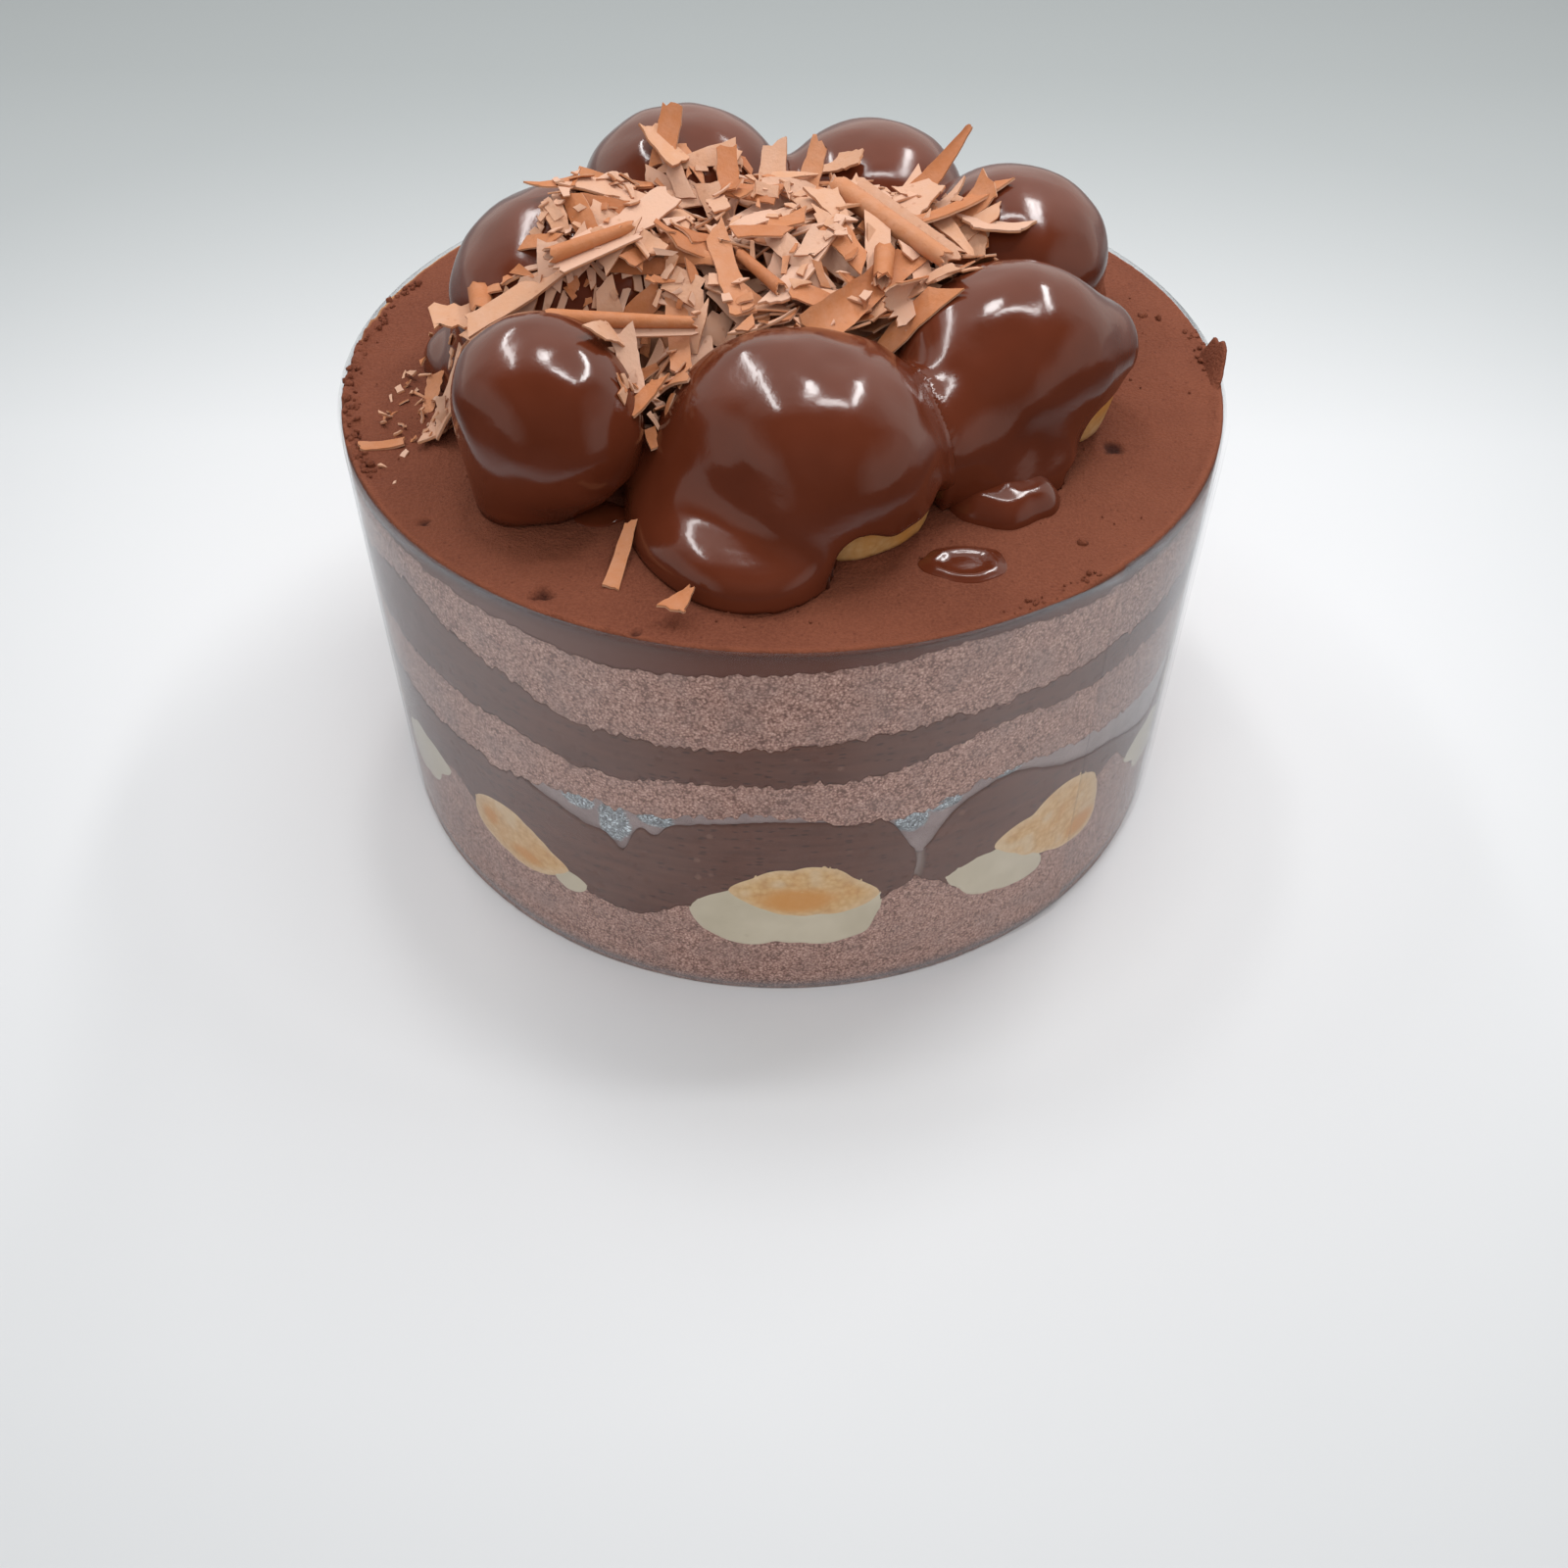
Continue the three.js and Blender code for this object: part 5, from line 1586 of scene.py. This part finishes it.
for kind, given, count in heapSet["firstDrops"]:
    scatter(kind, heapSet[given], count)
laySlabs()
layRolls()
for kind, given, count in heapSet["lastDrops"]:
    scatter(kind, heapSet[given], count)
scatter("shavingChips", besideSet, besideSet["count"], besidePlace)
layLoose()
for name, shells in laid.items():
    rows, columns = shells[0][0].shape[:2]
    each = rows * columns
    points = np.concatenate([side.reshape(-1, 3) for shell in shells for side in shell[:2]])
    shift = 2 * each * np.arange(len(shells))[:, None, None]
    faces = (sheetFaces(rows, columns)[None] + shift).reshape(-1, 4)
    tone = np.repeat(np.array([shell[2:] for shell in shells]).ravel(), each)
    makePiece(name, (points, [faces]), shaving, ["shavings"], {"tone": tone}, 35)
    print(name, "laid:", len(shells))
print("shavings made")


# Film collar

filmSet = {"radius": 80.0, "thick": 0.4, "foot": 0.6, "head": 83.4, "lapAt": 42.5, "lapSpan": 34.0,
           "lapStep": 0.75, "lapRise": 14.0, "columns": 640, "rows": 16, "wave": 0.05, "waveScale": 18,
           "waveSeed": 601, "lapSheen": 0.35, "lapFrom": (358, 361), "endFrom": (0, 0.8)}


def filmSkin():
    # a band wound once round the cake, its outer end lapped over its start; slow noise waves it in and out
    turned = np.linspace(0, 360 + filmSet["lapSpan"], filmSet["columns"])[None, :]
    height = np.linspace(filmSet["foot"], filmSet["head"], filmSet["rows"])[:, None] + 0 * turned
    radius = filmSet["radius"] + filmSet["lapStep"] * smoothStep(360 - filmSet["lapRise"], 360, turned)
    azimuth = filmSet["lapAt"] + turned + 0 * height
    spots = onRing(filmSet["radius"], azimuth, height)
    radius = radius + filmSet["wave"] * softNoise(spots, filmSet["waveScale"], filmSet["waveSeed"])
    sheet = thickSheet(onRing(radius, azimuth, height), onRing(radius - filmSet["thick"], azimuth, height))
    # less gloss on the lap, and none on the two ends
    sheen = 1 - (1 - filmSet["lapSheen"]) * smoothStep(*filmSet["lapFrom"], turned + 0 * height)
    inward = smoothStep(*filmSet["endFrom"], turned)
    sheen = sheen * inward * smoothStep(*filmSet["endFrom"], turned[:, ::-1])
    return sheet, {"sheen": np.concatenate([sheen.ravel(), sheen.ravel()])}


skin, marks = filmSkin()
makePiece("filmCollar", skin, film, ["collar"], marks)
print("film made")


# Floor, light and camera

floorSet = {  # distances from the cake's axis in metres, and screen colours
    "half": 12.0, "points": 9, "cloudScale": 3.0, "cloud": ((228, 228, 230), (234, 234, 235)),
    # the grey away from the cake and behind it is painted shade of the light's falloff
    "away": (0.1, 0.34), "falloffShadeColour": (192, 195, 196), "behindShadeColour": (176, 180, 180),
    "wall": (0.65, 1.8), "wallColour": (249, 250, 250),
    # the dark grey seen by glossy rays far in front is a painted reflection
    "mirror": (0.2, 0.34), "mirrorFront": (0.34, 0.16), "reflectedShadeColour": (70, 71, 72),
}


def floorFinish():
    # pale round the cake, greyer away from it and behind it as painted shade of the light's falloff, and
    # pale again towards the walls;
    # far in front, for glossy rays only, it is a painted dark reflection for the glaze to mirror
    material, tree, shader = newMaterial("floorWithPaintedLight", {"Roughness": 0.8, "Specular IOR Level": 0.0})
    place = objectPlace(tree)
    away = addNode(tree, "ShaderNodeVectorMath", {0: place}, operation="LENGTH").outputs["Value"]
    depth = addNode(tree, "ShaderNodeSeparateXYZ", {0: place}).outputs["Y"]
    cloud = noiseNode(tree, place, floorSet["cloudScale"], 2.0, 0.5)
    colour = mixColour(tree, cloud, *floorSet["cloud"])
    # painted shade: greyer away from the cake and behind it, as the light falls off
    colour = mixColour(tree, spread(tree, away, *floorSet["away"]), colour, floorSet["falloffShadeColour"])
    colour = mixColour(tree, spread(tree, depth, *floorSet["away"]), colour, floorSet["behindShadeColour"])
    colour = mixColour(tree, spread(tree, away, *floorSet["wall"]), colour, floorSet["wallColour"])
    # painted reflection: glossy rays see the floor far in front as dark grey, so the glaze mirrors a dark
    # side
    isMirror = tree.nodes.new("ShaderNodeLightPath").outputs["Is Glossy Ray"]
    paintedReflectionShare = scaled(tree, isMirror, spread(tree, away, *floorSet["mirror"]))
    paintedReflectionShare = scaled(tree, paintedReflectionShare, spread(tree, depth, *floorSet["mirrorFront"]))
    colour = mixColour(tree, paintedReflectionShare, colour, floorSet["reflectedShadeColour"])
    tree.links.new(colour, shader.inputs["Base Color"])
    return material


def makeFloor():
    # a wide flat sheet under the cake
    count = floorSet["points"]
    side = np.linspace(-floorSet["half"], floorSet["half"], count)
    x, y = np.meshgrid(side, side)
    points = np.stack([x, y, 0 * x], -1).reshape(-1, 3)
    mesh = bpy.data.meshes.new("floor")
    mesh.from_pydata(points.tolist(), [], gridQuads(count, count).tolist())
    mesh.materials.append(floorFinish())
    floor = bpy.data.objects.new("floor", mesh)
    bpy.context.scene.collection.objects.link(floor)


makeFloor()

studio = {
    "room": 0.5,  # even light from the white walls
    "mirrorBack": 0.92, "mirrorSide": 0.62, "mirrorFront": 0.03,  # what glossy surfaces see of the walls
    "backFrom": (0.05, 0.35), "sideFrom": (0.55, 0.78), "lowFrom": (0.75, 0.45),  # along y, x and z
    "tint": (0.98, 1.0, 1.01, 1.0), "mirrorTint": (1.05, 0.97, 0.91, 1.0),
    "stripGlow": 22.0, "stripHeight": 0.5,
    "strips": [  # middle x, y, size x, size y in metres
        (-0.25, 0.22, 0.03, 0.34), (0.225, 0.19, 0.05, 0.28), (0.07, 0.035, 0.2, 0.028),
        (-0.05, 0.12, 0.045, 0.1),
    ],
    "fill": {"place": (0.0, -0.95, 0.95), "size": (1.5, 1.0), "glow": 1.2},
}


def makeWorld():
    # white walls round the cake; in reflections the side towards the camera is dark
    world = bpy.data.worlds.new("studio")
    world.use_nodes = True
    tree = world.node_tree
    background = tree.nodes["Background"]
    view = tree.nodes.new("ShaderNodeTexCoord").outputs["Generated"]
    split = addNode(tree, "ShaderNodeSeparateXYZ", {0: view})
    back = spread(tree, split.outputs["Y"], *studio["backFrom"])
    side = spread(tree, maths(tree, "ABSOLUTE", split.outputs["X"]), *studio["sideFrom"])
    low = spread(tree, split.outputs["Z"], *studio["lowFrom"])
    mirror = maths(tree, "ADD", scaled(tree, back, studio["mirrorBack"]), studio["mirrorFront"])
    sideGlow = scaled(tree, scaled(tree, side, low), studio["mirrorSide"])
    mirror = maths(tree, "MAXIMUM", mirror, sideGlow)
    isMirror = tree.nodes.new("ShaderNodeLightPath").outputs["Is Glossy Ray"]
    glow = addNode(tree, "ShaderNodeMix", {0: isMirror, 2: studio["room"], 3: mirror}).outputs[0]
    tint = mixColour(tree, isMirror, studio["tint"], studio["mirrorTint"])
    light = mixColour(tree, 1.0, glow, tint, "MULTIPLY")
    tree.links.new(light, background.inputs["Color"])
    bpy.context.scene.world = world


def makeLight(name, place, size, glow, turn=(0.0, 0.0, 0.0), isMirrored=True):
    # a soft rectangle, unseen by the camera itself; its power gives every size the same brightness
    lamp = bpy.data.lights.new(name, "AREA")
    lamp.shape = "RECTANGLE"
    lamp.size, lamp.size_y = size
    lamp.energy = glow * math.pi * size[0] * size[1]
    light = bpy.data.objects.new(name, lamp)
    light.location = place
    light.rotation_euler = turn
    light.visible_camera = False
    light.visible_glossy = isMirrored
    bpy.context.scene.collection.objects.link(light)


makeWorld()
for index, (x, y, sizeX, sizeY) in enumerate(studio["strips"]):
    makeLight(f"strip{index + 1}", (x, y, studio["stripHeight"]), (sizeX, sizeY), studio["stripGlow"])
fill = studio["fill"]
fillTurn = (math.atan2(-fill["place"][1], fill["place"][2]), 0.0, 0.0)
makeLight("frontFill", fill["place"], fill["size"], fill["glow"], fillTurn, False)

cameraSet = {"place": (0.0, -0.2542, 0.2381), "yaw": 0.19, "pitch": -46.30, "roll": 0.46, "lens": 36.0,
             "sensor": 36.0, "clipStart": 0.01}


def makeCamera():
    # looks along yaw and pitch, then rolls about the line of sight
    yaw, pitch, roll = (math.radians(cameraSet[key]) for key in ("yaw", "pitch", "roll"))
    ahead = np.array([math.sin(yaw) * math.cos(pitch), math.cos(yaw) * math.cos(pitch), math.sin(pitch)])
    level = np.array([math.cos(yaw), -math.sin(yaw), 0.0])
    upright = np.cross(level, ahead)
    right = level * math.cos(roll) + upright * math.sin(roll)
    up = upright * math.cos(roll) - level * math.sin(roll)
    lens = bpy.data.cameras.new("camera")
    lens.lens = cameraSet["lens"]
    lens.sensor_width = cameraSet["sensor"]
    lens.clip_start = cameraSet["clipStart"]
    camera = bpy.data.objects.new("camera", lens)
    turn = np.eye(4)
    turn[:3] = np.stack([right, up, -ahead, cameraSet["place"]], -1)
    camera.matrix_world = Matrix(turn.tolist())
    bpy.context.scene.collection.objects.link(camera)
    bpy.context.scene.camera = camera


makeCamera()
bpy.context.scene.view_settings.view_transform = "Standard"
bpy.context.scene.cycles.transparent_max_bounces = 24

bpy.context.view_layer.update()
